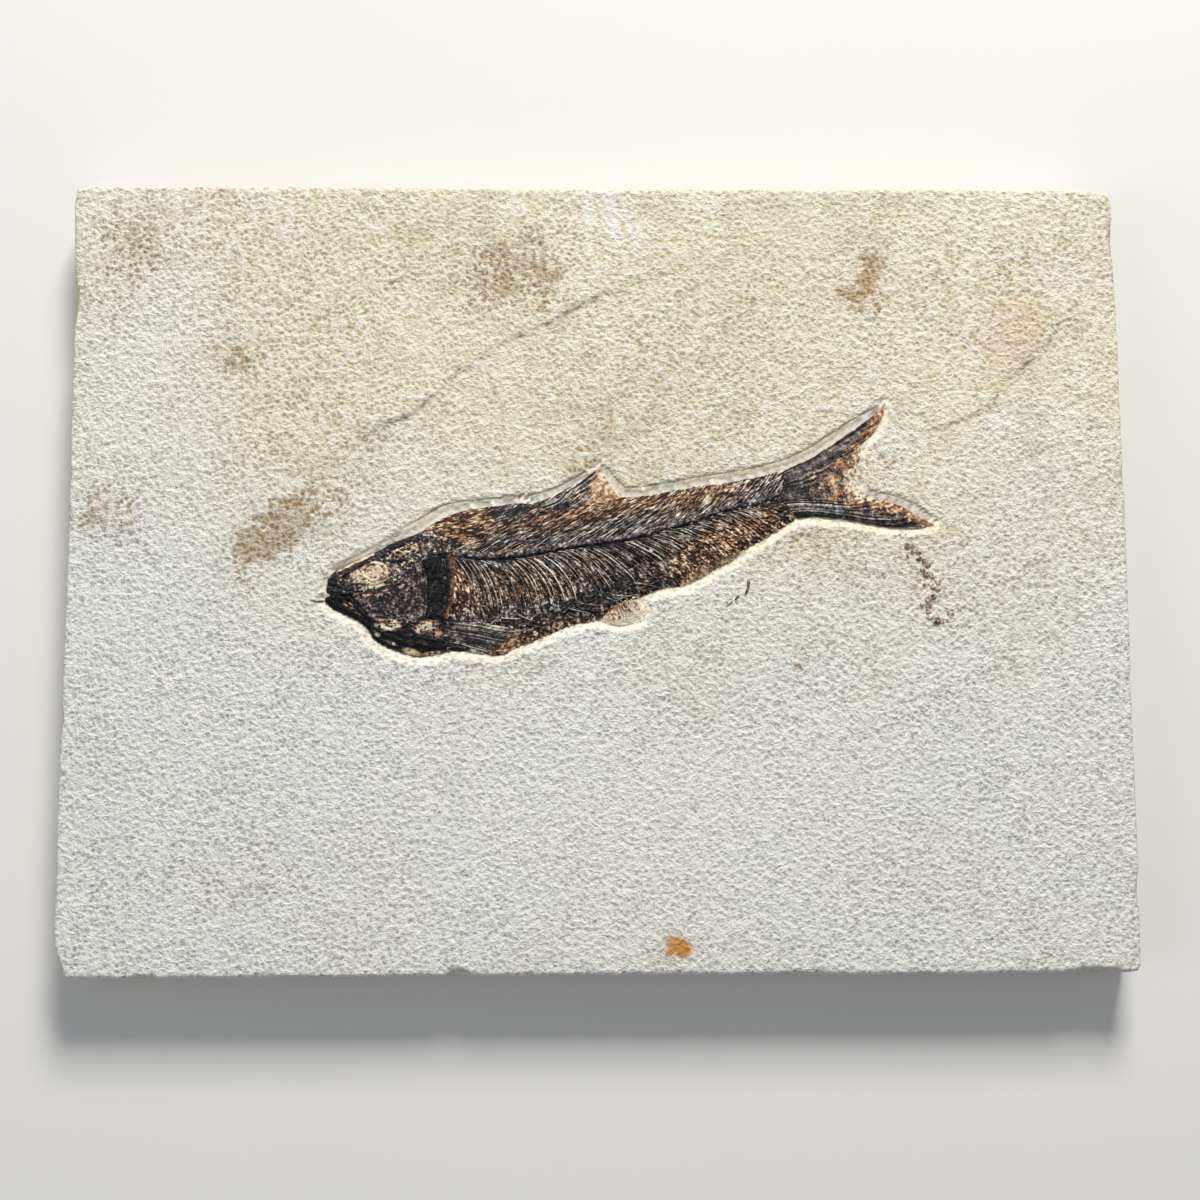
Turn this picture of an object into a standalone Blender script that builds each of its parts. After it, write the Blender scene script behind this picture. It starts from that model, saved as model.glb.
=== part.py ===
"""Fossil fish slab: a limestone slab lying on its back, with a herring-like fish bedded in a recess.

The slab is one stone. The fish's bones and fins are separate pieces, each in its own object: they lie
on the floor of the recess that was cut round the fish. Lengths are in millimetres until an object is
made. X runs along the slab, Y across it towards its upper edge and Z out of its face; the origin is
under the middle of the slab, on the surface it lies on.
"""

import math

import bmesh
import bpy
import numpy as np

MM = 0.001

# The slab.
THICKNESS = 12.0
BACK_ARRIS = 0.5  # worn edge round the back
FACE_ARRIS = 0.7  # worn edge round the face
SAWN_EDGE_Y = -82.4  # the straight lower edge that the slab stands on when it is shown upright
SLAB_OUTLINE = [
    (-107.2, SAWN_EDGE_Y), (40.0, SAWN_EDGE_Y), (72.9, -82.3), (107.5, -82.3), (109.4, -81.8),
    (110.1, -80.4), (110.1, -71.8), (110.3, -57.7), (110.1, -27.0), (110.3, -10.4), (110.3, 14.9),
    (110.0, 36.2), (109.8, 61.5), (109.7, 66.5), (109.8, 79.7), (108.6, 81.6), (104.1, 82.1),
    (93.0, 82.2), (65.2, 82.3), (45.5, 82.0), (-12.9, 82.2), (-61.5, 82.4), (-107.8, 82.4),
    (-109.5, 81.8), (-110.3, 80.2), (-109.9, 68.3), (-109.4, 55.4), (-109.6, 31.9), (-109.5, 10.9),
    (-109.6, -5.7), (-110.1, -50.6), (-109.9, -64.6), (-110.0, -73.6), (-109.8, -75.7), (-108.9, -78.6),
]

# Layers of the stone that end in a step: the step's line with its height, and where the layer dies out.
LONG_STEP = [
    (-64.0, 18.0, -0.2), (-53.6, 25.1, 0.2), (-46.4, 29.4, 0.4), (-40.0, 32.6, 0.5), (-35.0, 36.6, 0.5),
    (-29.3, 42.3, 0.4), (-20.7, 48.0, 0.4), (-15.0, 51.1, 0.4), (-6.4, 55.4, 0.5), (-0.7, 57.7, 0.4),
    (6.4, 61.3, 0.3), (13.6, 63.7, 0.2), (22.0, 66.5, -0.2),
]
LONG_STEP_DIES_AT = [
    (-90.0, 40.0), (-84.0, 50.0), (-76.0, 58.0), (-70.0, 64.0), (-62.0, 69.0), (-54.0, 73.0), (-45.0, 76.0),
    (-38.0, 77.5), (-28.0, 78.5), (-20.0, 79.0), (-10.0, 79.5), (0.0, 79.8), (12.0, 80.0),
]
SHORT_STEP = [
    (70.0, 29.0, -0.2), (73.6, 30.9, 0.2), (78.6, 33.0, 0.4), (82.9, 35.1, 0.5), (86.4, 40.9, 0.4),
    (90.7, 44.4, 0.5), (96.4, 50.9, 0.3), (99.3, 54.4, 0.2), (102.0, 58.0, -0.2),
]
SHORT_STEP_DIES_AT = [
    (50.0, 45.0), (52.0, 50.0), (55.0, 56.0), (58.0, 60.0), (62.0, 66.0), (68.0, 70.0), (76.0, 74.0),
    (84.0, 77.0), (92.0, 78.0),
]
LAYER_ROOT = 1.0  # how far a layer's solid reaches down into the slab
LAYER_DIP = 0.3  # how far below the face a layer has sunk where it dies out

# Chips off the slab's edges: centre (x, y, z) and half sizes.
CHIPS = [
    ((-28.5, -82.6, THICKNESS + 0.4), (3.0, 1.4, 1.6)),
    ((12.0, -82.7, THICKNESS + 0.3), (2.6, 0.8, 1.2)),
    ((39.0, -82.6, THICKNESS + 0.3), (4.2, 1.1, 1.3)),
    ((-92.0, -82.6, THICKNESS + 0.3), (2.4, 0.9, 1.2)),
    ((101.0, -82.8, THICKNESS + 0.4), (7.5, 1.5, 1.4)),
    ((-109.9, 57.0, THICKNESS + 0.2), (1.3, 5.5, 1.6)),
    ((110.1, 71.0, THICKNESS + 0.3), (1.3, 5.0, 1.3)),
    ((110.3, -66.0, THICKNESS + 0.3), (1.1, 4.0, 1.2)),
    ((-109.0, -80.0, 5.0), (1.6, 2.2, 3.0)),
]

# The recess that was cut to free the fish.
RECESS_DEPTH = 2.2
GAP = 0.3  # between any two pieces that touch
UPPER_WALL = 2.1  # how far the wall slopes back above the fish
LOWER_WALL = 1.2  # and below it

# The fish, as the lines that its pieces share. Each runs from the snout towards the tail.
SKULL_TOP = [
    (-56.1, -3.4), (-56.0, -1.6), (-55.2, -0.4), (-54.0, 0.4), (-50.0, 2.1), (-46.0, 4.2), (-42.8, 6.0),
    (-39.2, 7.5), (-37.0, 8.1), (-35.8, 9.0),
]
BACK_BEFORE_FIN = [
    (-35.8, 9.0), (-32.8, 11.0), (-28.0, 12.8), (-22.0, 13.7), (-16.8, 14.3), (-13.8, 14.2),
]
FIN_FRONT = [(-13.8, 14.2), (-10.0, 15.6), (-5.2, 18.2), (-2.7, 19.8), (0.0, 21.6)]
FIN_REAR = [(0.0, 21.6), (1.2, 20.2), (2.7, 18.2), (4.2, 16.5), (5.4, 15.7)]
FIN_BASE = [(-13.8, 14.2), (-12.4, 12.7), (-9.0, 12.4), (-5.0, 13.2), (0.0, 14.4), (5.4, 15.7)]
BACK_AFTER_FIN = [
    (5.4, 15.7), (11.2, 16.2), (17.3, 17.4), (26.4, 18.6), (34.5, 20.3), (39.5, 21.6),
]
TAIL_ROOT = [(39.5, 21.6), (38.6, 18.6), (37.8, 15.6), (39.4, 13.2), (41.4, 11.1)]  # top to bottom
UPPER_LOBE = [
    (39.5, 21.6), (44.8, 24.0), (49.9, 27.4), (54.8, 30.8), (59.0, 33.9), (60.3, 35.4),
]
FORK = [
    (60.3, 35.4), (59.6, 32.4), (58.0, 29.8), (55.1, 27.1), (54.0, 24.2), (53.0, 21.4), (52.6, 19.4),
    (53.2, 17.8), (55.0, 16.2), (59.0, 15.1), (63.5, 13.7), (66.7, 11.9), (70.3, 9.7),
]  # top to bottom
LOWER_LOBE = [
    (41.4, 11.1), (45.4, 11.5), (50.6, 11.0), (55.7, 10.2), (60.3, 9.2), (65.1, 9.0), (70.3, 9.7),
]
BELLY_REAR = [(30.4, 4.4), (34.5, 6.8), (39.0, 9.5), (41.4, 11.1)]
ANAL_EDGE = [(16.8, -3.2), (19.1, -2.6), (21.2, -1.8), (24.2, 0.5), (28.5, 2.6), (30.4, 4.4)]
ANAL_ROOT = [(16.8, -3.2), (17.6, -1.3), (20.4, 0.8), (24.0, 2.2), (27.6, 3.5), (30.4, 4.4)]
BELLY_MIDDLE = [(8.6, -5.4), (11.2, -4.2), (13.6, -3.5), (16.8, -3.2)]
PELVIC_ROOT = [(0.2, -10.1), (1.6, -8.6), (3.4, -7.0), (5.6, -6.0), (8.6, -5.4)]
PELVIC_EDGE = [
    (0.2, -10.1), (2.1, -10.9), (4.5, -11.3), (7.0, -10.9), (9.0, -10.0), (9.6, -8.2), (8.6, -5.4),
]
BELLY_FRONT = [(-17.2, -15.8), (-12.8, -14.2), (-8.2, -12.1), (-4.5, -10.8), (0.2, -10.1)]
PECTORAL_TOP = [(-31.2, -9.9), (-28.0, -10.2), (-24.0, -10.6), (-20.0, -11.3), (-16.2, -12.3)]
PECTORAL_REAR = [(-16.2, -12.3), (-16.4, -14.0), (-17.2, -15.8)]  # top to bottom
PECTORAL_EDGE = [
    (-31.2, -16.6), (-28.8, -16.4), (-24.0, -16.9), (-21.6, -17.4), (-19.6, -17.2), (-17.2, -15.8),
]
PECTORAL_ROOT = [(-31.2, -9.9), (-32.0, -13.4), (-31.2, -16.6)]  # top to bottom
THROAT_EDGE = [
    (-47.4, -12.0), (-45.2, -14.6), (-41.6, -16.4), (-37.6, -17.6), (-34.4, -17.4), (-31.2, -16.6),
]
JAW_EDGE = [(-56.4, -6.4), (-54.8, -7.6), (-50.8, -9.6), (-48.8, -10.6), (-47.4, -12.0)]
NAPE = [(-35.8, 9.0), (-33.0, 8.0), (-30.8, 6.6), (-30.0, 4.3)]  # top to bottom
SHOULDER_TOP = [(-36.4, 1.8), (-35.4, 3.4), (-32.5, 3.8), (-30.0, 4.3)]
SHOULDER_REAR = [(-30.0, 4.3), (-29.6, 0.0), (-29.8, -4.6), (-31.2, -9.9)]  # top to bottom
SHOULDER_FRONT = [(-36.4, 1.8), (-35.5, -1.0), (-35.4, -6.0), (-35.8, -9.9)]  # top to bottom
SHOULDER_FOOT = [(-35.8, -9.9), (-31.2, -9.9)]
CHEEK_TOP = [(-51.2, -4.6), (-45.0, -3.2), (-41.2, -2.4), (-38.6, 0.8), (-36.4, 1.8)]
CHEEK_FOOT = [(-46.6, -10.3), (-42.0, -10.8), (-38.0, -10.6), (-35.8, -9.9)]
JAW_TOP = [(-56.4, -5.2), (-54.0, -4.9), (-51.2, -4.6)]
JAW_REAR = [(-51.2, -4.6), (-49.6, -6.4), (-47.8, -8.4), (-46.6, -10.3), (-47.4, -12.0)]  # top to bottom
CHEEK_FRONT = JAW_REAR[:4]
THROAT_FRONT = JAW_REAR[3:]
SNOUT_TIP = [(-56.1, -3.4), (-56.4, -5.2)]
CHIN = [(-56.4, -5.2), (-56.4, -6.4)]
BACKBONE = [
    (-28.8, 3.3), (-25.0, 3.0), (-20.0, 3.0), (-15.0, 3.6), (-10.0, 4.2), (-5.0, 5.1), (0.0, 6.1),
    (5.0, 6.6), (9.0, 7.4), (13.0, 8.4), (17.0, 9.6), (21.0, 10.7), (25.0, 12.1), (30.0, 13.4),
    (34.0, 14.3), (36.6, 15.1),
]

# Bones that stand out of the flank.
VERTEBRAE = 26
VERTEBRA_WIDTH = 1.7
VERTEBRA_HEIGHT = 0.55
RIBS = 22
RIB_SPACING = 1.88
RIB_WIDTH = 0.55
RIB_STEPS = 4
SPINE_RAYS = 22
EYE_CENTRE = (-46.4, 0.1)
EYE_HALF_SIZE = (2.7, 1.8)

# Small fossils beside the fish.
PELLETS = [
    (64.0, 4.9, 0.8), (65.3, 5.0, 0.8), (66.4, 4.0, 0.8), (67.0, 2.9, 0.7), (67.9, 2.0, 0.7),
    (68.3, 1.0, 0.7), (67.9, -0.1, 0.7), (68.8, -0.9, 0.7), (69.8, -1.6, 0.7), (70.2, -2.7, 0.8),
    (69.8, -3.9, 0.8), (69.4, -5.1, 0.7), (68.5, -5.9, 0.8), (68.2, -7.1, 0.8), (68.2, -8.3, 0.7),
    (68.7, -9.4, 0.7), (69.7, -10.3, 0.9), (70.9, -10.3, 0.6), (71.8, -9.7, 0.7), (72.5, -8.8, 0.7),
]
PELLET_HEIGHT = 0.45
STRAY_SPINE = [(31.1, -1.8), (31.0, -3.0), (30.6, -4.2), (29.8, -5.2), (28.6, -6.2)]
STRAY_SPINE_WIDTH = 0.6

CORNER_ANGLE = 28.0  # a line that turns by more than this keeps its corner

FLOOR_Z = THICKNESS - RECESS_DEPTH
BED_Z = FLOOR_Z + GAP  # underside of the pieces that lie in the recess


def clear_scene():
    """Remove what the scene starts with."""
    for obj in list(bpy.data.objects):
        bpy.data.objects.remove(obj)


def material(name, colour, roughness):
    """A plain, non-metallic finish."""
    made = bpy.data.materials.new(name)
    made.use_nodes = True
    shader = made.node_tree.nodes["Principled BSDF"]
    shader.inputs["Base Color"].default_value = (*colour, 1.0)
    shader.inputs["Roughness"].default_value = roughness
    shader.inputs["Metallic"].default_value = 0.0
    made.diffuse_color = (*colour, 1.0)
    return made


def mesh_object(name, points, faces, finish):
    """An object from points in millimetres and faces, with its normals set to point out."""
    mesh = bpy.data.meshes.new(name)
    mesh.from_pydata([tuple(float(c) * MM for c in p) for p in points], [], [tuple(f) for f in faces])
    shell = bmesh.new()
    shell.from_mesh(mesh)
    bmesh.ops.recalc_face_normals(shell, faces=shell.faces)
    shell.to_mesh(mesh)
    shell.free()
    mesh.materials.append(finish)
    obj = bpy.data.objects.new(name, mesh)
    bpy.context.scene.collection.objects.link(obj)
    return obj


def helper(obj):
    """Mark an object as a cutter or an added shape, which isn't a piece of its own."""
    obj.hide_render = True
    obj.display_type = "WIRE"
    return obj


def combine(target, other, operation):
    """Join another shape to a piece, or cut it out of the piece."""
    change = target.modifiers.new(f"{operation.lower()} {other.name}", "BOOLEAN")
    change.operation = operation
    change.solver = "EXACT"
    change.use_self = True
    change.object = helper(other)


def resampled(line, count):
    """The given number of points along a line: evenly spaced, but with one on each sharp corner."""
    line = np.asarray(line, float)
    steps = np.diff(line, axis=0)
    lengths = np.linalg.norm(steps[:, :2], axis=1)
    along = np.concatenate([[0.0], np.cumsum(lengths)])
    wanted = np.linspace(0.0, along[-1], count)
    heading = np.arctan2(steps[:, 1], steps[:, 0])
    turn = np.abs((np.diff(heading) + np.pi) % (2 * np.pi) - np.pi)
    for corner in np.flatnonzero(turn > math.radians(CORNER_ANGLE)) + 1:
        nearest = int(np.clip(np.abs(wanted - along[corner]).argmin(), 1, count - 2))
        wanted[nearest] = along[corner]
    return np.stack([np.interp(wanted, along, line[:, k]) for k in range(line.shape[1])], axis=1)


def loop_of(*lines):
    """One closed loop from lines that follow each other end to end."""
    points = [p for line in lines for p in line[:-1]]
    return np.asarray(points, float)


def outward(loop):
    """At each point of a closed loop, the direction away from its inside, longer at a sharp corner."""
    following = np.roll(loop, -1, axis=0) - loop
    following /= np.linalg.norm(following, axis=1)[:, None]
    before = np.roll(following, 1, axis=0)
    area = np.sum(loop[:, 0] * np.roll(loop[:, 1], -1) - np.roll(loop[:, 0], -1) * loop[:, 1])
    turn = 1.0 if area > 0 else -1.0
    mean = following + before
    normal = turn * np.stack([mean[:, 1], -mean[:, 0]], axis=1)
    length = np.linalg.norm(normal, axis=1)
    unit = normal / length[:, None]
    return unit / np.clip(length / 2.0, 0.6, 1.0)[:, None]


def offset(loop, distance):
    """A closed loop moved outwards; distance may differ from point to point."""
    return loop + outward(loop) * np.broadcast_to(distance, len(loop))[:, None]


def patch(south, east, north, west):
    """The grid of points between four lines: a Coons patch.

    South and north run along u and west and east along v, and they share their end points. A point
    is the blend of south and north, plus the blend of west and east, less the blend of the corners.
    """
    u = np.linspace(0.0, 1.0, len(south))[None, :, None]
    v = np.linspace(0.0, 1.0, len(west))[:, None, None]
    along = (1 - v) * south[None] + v * north[None]
    across = (1 - u) * west[:, None] + u * east[:, None]
    low = (1 - u) * south[0] + u * south[-1]
    high = (1 - u) * north[0] + u * north[-1]
    return along + across - ((1 - v) * low + v * high)


def inset_patch(south, east, north, west, across_u, across_v):
    """A patch between four lines, resampled, and drawn in by half the gap between pieces."""
    sides = [
        resampled(south, across_u + 1), resampled(east, across_v + 1),
        resampled(north, across_u + 1)[::-1], resampled(west, across_v + 1)[::-1],
    ]
    loop = offset(loop_of(*sides), -GAP / 2)
    closed = np.concatenate([loop, loop[:1]])
    corners = np.cumsum([0, across_u, across_v, across_u, across_v])
    drawn = [closed[a:b + 1] for a, b in zip(corners[:-1], corners[1:])]
    return patch(drawn[0], drawn[1], drawn[2][::-1], drawn[3][::-1])


def crowned(shape, edge, crown):
    """Height above the underside over a grid: an edge thickness, and a crown across the piece.

    The crown is the product over both directions of (1 - (2t - 1)^4), to the power 0.6.
    """
    rows, columns = shape
    v = np.linspace(-1.0, 1.0, rows)[:, None]
    u = np.linspace(-1.0, 1.0, columns)[None, :]
    return edge + crown * ((1 - v**4) * (1 - u**4)) ** 0.6


def slab_of_grid(grid, low, high):
    """Points and faces of a closed piece over a grid of points: underside at low, top at high."""
    rows, columns = grid.shape[:2]
    top = np.concatenate([grid, high[..., None]], axis=2).reshape(-1, 3)
    under = np.concatenate([grid, np.full_like(high, low)[..., None]], axis=2).reshape(-1, 3)
    index = np.arange(rows * columns).reshape(rows, columns)
    cells = np.stack([index[:-1, :-1], index[:-1, 1:], index[1:, 1:], index[1:, :-1]], axis=-1).reshape(-1, 4)
    rim = np.concatenate([index[0], index[1:, -1], index[-1, -2::-1], index[-2:0:-1, 0]])
    walls = np.stack([rim, np.roll(rim, -1), np.roll(rim, -1) + len(top), rim + len(top)], axis=1)
    under_face = [int(i) + len(top) for i in rim[::-1]]
    used = np.zeros(2 * len(top), bool)
    used[:len(top)] = True
    used[len(top) + rim] = True
    renumber = np.cumsum(used) - 1
    points = np.concatenate([top, under])[used]
    faces = [tuple(int(renumber[i]) for i in face) for face in np.concatenate([cells, walls])]
    faces.append(tuple(int(renumber[i]) for i in under_face))
    return points, faces


def ridge(path, width, height, sunk=0.25):
    """Points and faces of a three-sided ridge along a path, tapering to its far end."""
    path = np.asarray(path, float)
    count = len(path)
    run = np.gradient(path[:, :2], axis=0)
    run /= np.linalg.norm(run, axis=1)[:, None]
    side = np.stack([-run[:, 1], run[:, 0]], axis=1)
    taper = np.linspace(1.0, 0.45, count)[:, None]
    half = side * width / 2 * taper
    left = np.column_stack([path[:, :2] + half, path[:, 2] - sunk])
    right = np.column_stack([path[:, :2] - half, path[:, 2] - sunk])
    crest = np.column_stack([path[:, :2], path[:, 2] + height * taper[:, 0]])
    points = np.stack([left, crest, right], axis=1).reshape(-1, 3)
    faces = []
    for i in range(count - 1):
        for k in range(3):
            a, b = 3 * i + k, 3 * i + (k + 1) % 3
            faces.append((a, b, b + 3, a + 3))
    faces += [(2, 1, 0), (3 * count - 3, 3 * count - 2, 3 * count - 1)]
    return points, faces


def gathered(name, shells, finish):
    """One object that holds several closed shapes."""
    points, faces, start = [], [], 0
    for shell_points, shell_faces in shells:
        points.extend(shell_points)
        faces.extend(tuple(i + start for i in face) for face in shell_faces)
        start += len(shell_points)
    return mesh_object(name, points, faces, finish)


class Plate:
    """A flat bone or fin: a grid between four lines, with a crowned top."""

    def __init__(self, name, sides, cells, edge, crown, finish):
        self.name = name
        self.finish = finish
        self.grid = inset_patch(*sides, *cells)
        self.high = BED_Z + crowned(self.grid.shape[:2], edge, crown)
        points, faces = slab_of_grid(self.grid, BED_Z, self.high)
        self.object = mesh_object(name, points, faces, finish)
        self.shells = []

    def at(self, u, v):
        """The point of the top at u along and v across, each from 0 to 1."""
        rows, columns = self.high.shape
        column, row = u * (columns - 1), v * (rows - 1)
        i, j = min(int(row), rows - 2), min(int(column), columns - 2)
        fv, fu = row - i, column - j
        stacked = np.concatenate([self.grid, self.high[..., None]], axis=2)
        low = (1 - fu) * stacked[i, j] + fu * stacked[i, j + 1]
        high = (1 - fu) * stacked[i + 1, j] + fu * stacked[i + 1, j + 1]
        return (1 - fv) * low + fv * high

    def add_ridge(self, start, end, width, height, points=4):
        """A ridge on the top from start to end, both (u, v)."""
        path = [
            self.at(start[0] + (end[0] - start[0]) * t, start[1] + (end[1] - start[1]) * t)
            for t in np.linspace(0.0, 1.0, points)
        ]
        self.shells.append(ridge(path, width, height))

    def fuse_ridges(self):
        """Join the ridges to the plate."""
        combine(self.object, gathered(f"{self.name}_ridges", self.shells, self.finish), "UNION")


def stepped_layer(name, step, dies_at, finish):
    """A layer of stone that rises to a step: a wedge from the line where it dies out to the step."""
    step = np.asarray(step, float)
    far = np.asarray(dies_at, float)
    count = len(step)
    low = np.full(count, THICKNESS - LAYER_ROOT)
    points = np.concatenate([
        np.column_stack([step[:, :2], THICKNESS + step[:, 2]]),
        np.column_stack([far, np.full(count, THICKNESS - LAYER_DIP)]),
        np.column_stack([far, low]),
        np.column_stack([step[:, :2], low]),
    ])
    faces = []
    for k in range(4):
        for i in range(count - 1):
            a, b = k * count + i, ((k + 1) % 4) * count + i
            faces.append((a, b, b + 1, a + 1))
    faces += [
        tuple(k * count for k in range(4)),
        tuple(k * count + count - 1 for k in reversed(range(4))),
    ]
    return mesh_object(name, points, faces, finish)


def stacked_rings(name, rings, finish):
    """A closed shape from rings of the same number of points, each (loop, z), from the lowest up."""
    count = len(rings[0][0])
    points = np.concatenate([np.column_stack([loop, np.full(count, z)]) for loop, z in rings])
    faces = []
    for k in range(len(rings) - 1):
        for i in range(count):
            a, b = k * count + i, k * count + (i + 1) % count
            faces.append((a, b, b + count, a + count))
    last = (len(rings) - 1) * count
    faces += [tuple(reversed(range(count))), tuple(range(last, last + count))]
    return mesh_object(name, points, faces, finish)


def lump(centre, half_sizes, subdivisions=1):
    """Points and faces of a round lump."""
    shell = bmesh.new()
    bmesh.ops.create_icosphere(shell, subdivisions=subdivisions, radius=1.0)
    points = [tuple(c + h * x for c, h, x in zip(centre, half_sizes, vert.co)) for vert in shell.verts]
    faces = [tuple(vert.index for vert in face.verts) for face in shell.faces]
    shell.free()
    return points, faces


def fish_outline():
    """The fish's silhouette as one closed loop, along the back and home along the belly."""
    back = [SKULL_TOP, BACK_BEFORE_FIN, FIN_FRONT, FIN_REAR, BACK_AFTER_FIN, UPPER_LOBE, FORK]
    belly = [
        LOWER_LOBE, BELLY_REAR, ANAL_EDGE, BELLY_MIDDLE, PELVIC_EDGE, BELLY_FRONT, PECTORAL_EDGE,
        THROAT_EDGE, JAW_EDGE, CHIN, SNOUT_TIP,
    ]
    home = [line[::-1] for line in belly]
    return loop_of(*back, *home)


def make_slab(finish):
    """The stone: an extruded outline with worn edges, its two stepped layers, the recess and the chips."""
    outline = np.asarray(SLAB_OUTLINE, float)
    slab = stacked_rings("slab", [
        (offset(outline, -BACK_ARRIS), 0.0),
        (outline, BACK_ARRIS),
        (outline, THICKNESS - FACE_ARRIS),
        (offset(outline, -FACE_ARRIS), THICKNESS),
    ], finish)
    combine(slab, stepped_layer("long_layer", LONG_STEP, LONG_STEP_DIES_AT, finish), "UNION")
    combine(slab, stepped_layer("short_layer", SHORT_STEP, SHORT_STEP_DIES_AT, finish), "UNION")
    floor = fish_outline()
    faces_up = np.clip(outward(floor)[:, 1] * 2.0, 0.0, 1.0)
    wall = LOWER_WALL + (UPPER_WALL - LOWER_WALL) * faces_up
    foot, crest = offset(floor, GAP), offset(floor, GAP + wall)
    recess = stacked_rings(
        "recess", [(foot, FLOOR_Z), (crest, THICKNESS), (crest, THICKNESS + 2.0)], finish
    )
    combine(slab, recess, "DIFFERENCE")
    chips = gathered("chips", [lump(centre, half, 2) for centre, half in CHIPS], finish)
    combine(slab, chips, "DIFFERENCE")
    return slab


def make_head(skull_finish, dark_finish, cheek_finish):
    """The skull with its eye socket, the cheek and gill cover, the jaw, the shoulder and the throat."""
    skull = Plate("skull", (
        [*SNOUT_TIP[::-1][:1], *JAW_TOP[1:-1], *CHEEK_TOP, *SHOULDER_TOP[1:]],
        NAPE[::-1], SKULL_TOP, SNOUT_TIP[::-1],
    ), (14, 5), 0.6, 0.9, skull_finish)
    for v in (0.62, 0.78, 0.92):
        skull.add_ridge((0.06, v), (0.86, v - 0.08), 0.8, 0.25, points=6)
    for u in (0.72, 0.80, 0.88):
        skull.add_ridge((u, 0.2), (u + 0.06, 0.85), 0.6, 0.22, points=3)
    skull.fuse_ridges()
    eye_z = BED_Z + 1.75
    eye = gathered("eye_socket", [lump((*EYE_CENTRE, eye_z), (*EYE_HALF_SIZE, 0.7), 2)], skull_finish)
    combine(skull.object, eye, "DIFFERENCE")

    cheek = Plate("gill_cover", (CHEEK_FOOT, SHOULDER_FRONT[::-1], CHEEK_TOP, CHEEK_FRONT[::-1]),
                  (10, 7), 0.6, 0.8, cheek_finish)
    for k in range(5):
        cheek.add_ridge((0.45 + 0.02 * k, 0.85 - 0.03 * k), (0.95 - 0.09 * k, 0.55 - 0.09 * k), 0.6, 0.18, points=3)
    cheek.fuse_ridges()

    jaw = Plate("lower_jaw", (JAW_EDGE, JAW_REAR[::-1], JAW_TOP, CHIN[::-1]), (8, 4), 0.6, 0.6, dark_finish)
    jaw.add_ridge((0.06, 0.25), (0.85, 0.2), 0.7, 0.3)
    jaw.add_ridge((0.06, 0.75), (0.8, 0.7), 0.7, 0.3)
    jaw.fuse_ridges()

    shoulder = Plate("shoulder_bone", (SHOULDER_FOOT, SHOULDER_REAR[::-1], SHOULDER_TOP, SHOULDER_FRONT[::-1]),
                     (5, 9), 0.6, 0.7, dark_finish)
    shoulder.add_ridge((0.12, 0.95), (0.1, 0.08), 0.7, 0.3, points=6)
    shoulder.fuse_ridges()

    throat = Plate("throat_bones", (THROAT_EDGE, PECTORAL_ROOT[::-1],
                                    [*CHEEK_FOOT, *SHOULDER_FOOT[1:]], THROAT_FRONT[::-1]),
                   (10, 5), 0.6, 0.7, dark_finish)
    for v in (0.25, 0.5, 0.75):
        throat.add_ridge((0.08, v), (0.9, v - 0.05), 0.7, 0.25, points=6)
    throat.fuse_ridges()


def make_flank(finish):
    """The skin and scales of the body, from the shoulder to the root of the tail."""
    south = [
        *PECTORAL_TOP[:-1], *PECTORAL_REAR[:-1], *BELLY_FRONT[:-1], *PELVIC_ROOT[:-1],
        *BELLY_MIDDLE[:-1], *ANAL_ROOT[:-1], *BELLY_REAR,
    ]
    north = [*BACK_BEFORE_FIN[:-1], *FIN_BASE[:-1], *BACK_AFTER_FIN]
    west = [*SHOULDER_REAR[::-1][:-1], *NAPE[::-1]]
    return Plate("flank_scales", (south, TAIL_ROOT[::-1], north, west), (50, 7), 0.5, 0.55, finish)


def above(flank, points):
    """Points raised to lie just clear of the flank's top: each takes its height from the nearest grid point."""
    points = np.asarray(points, float)
    flat = flank.grid.reshape(-1, 2)
    near = np.linalg.norm(points[:, None, :2] - flat[None], axis=2).argsort(axis=1)[:, :4]
    height = flank.high.reshape(-1)[near].max(axis=1)
    return np.column_stack([points[:, :2], height + GAP])


def rib_path(start, length, lean):
    """A rib from its vertebra: it leaves backwards and down, and bends to straight down.

    The heading turns evenly from lean degrees below the fish's length to 80 degrees.
    """
    headings = np.radians(np.linspace(lean, 80.0, RIB_STEPS))
    steps = np.stack([np.cos(headings), -np.sin(headings)], axis=1) * length / RIB_STEPS
    return np.concatenate([[start], start + np.cumsum(steps, axis=0)])


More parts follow.
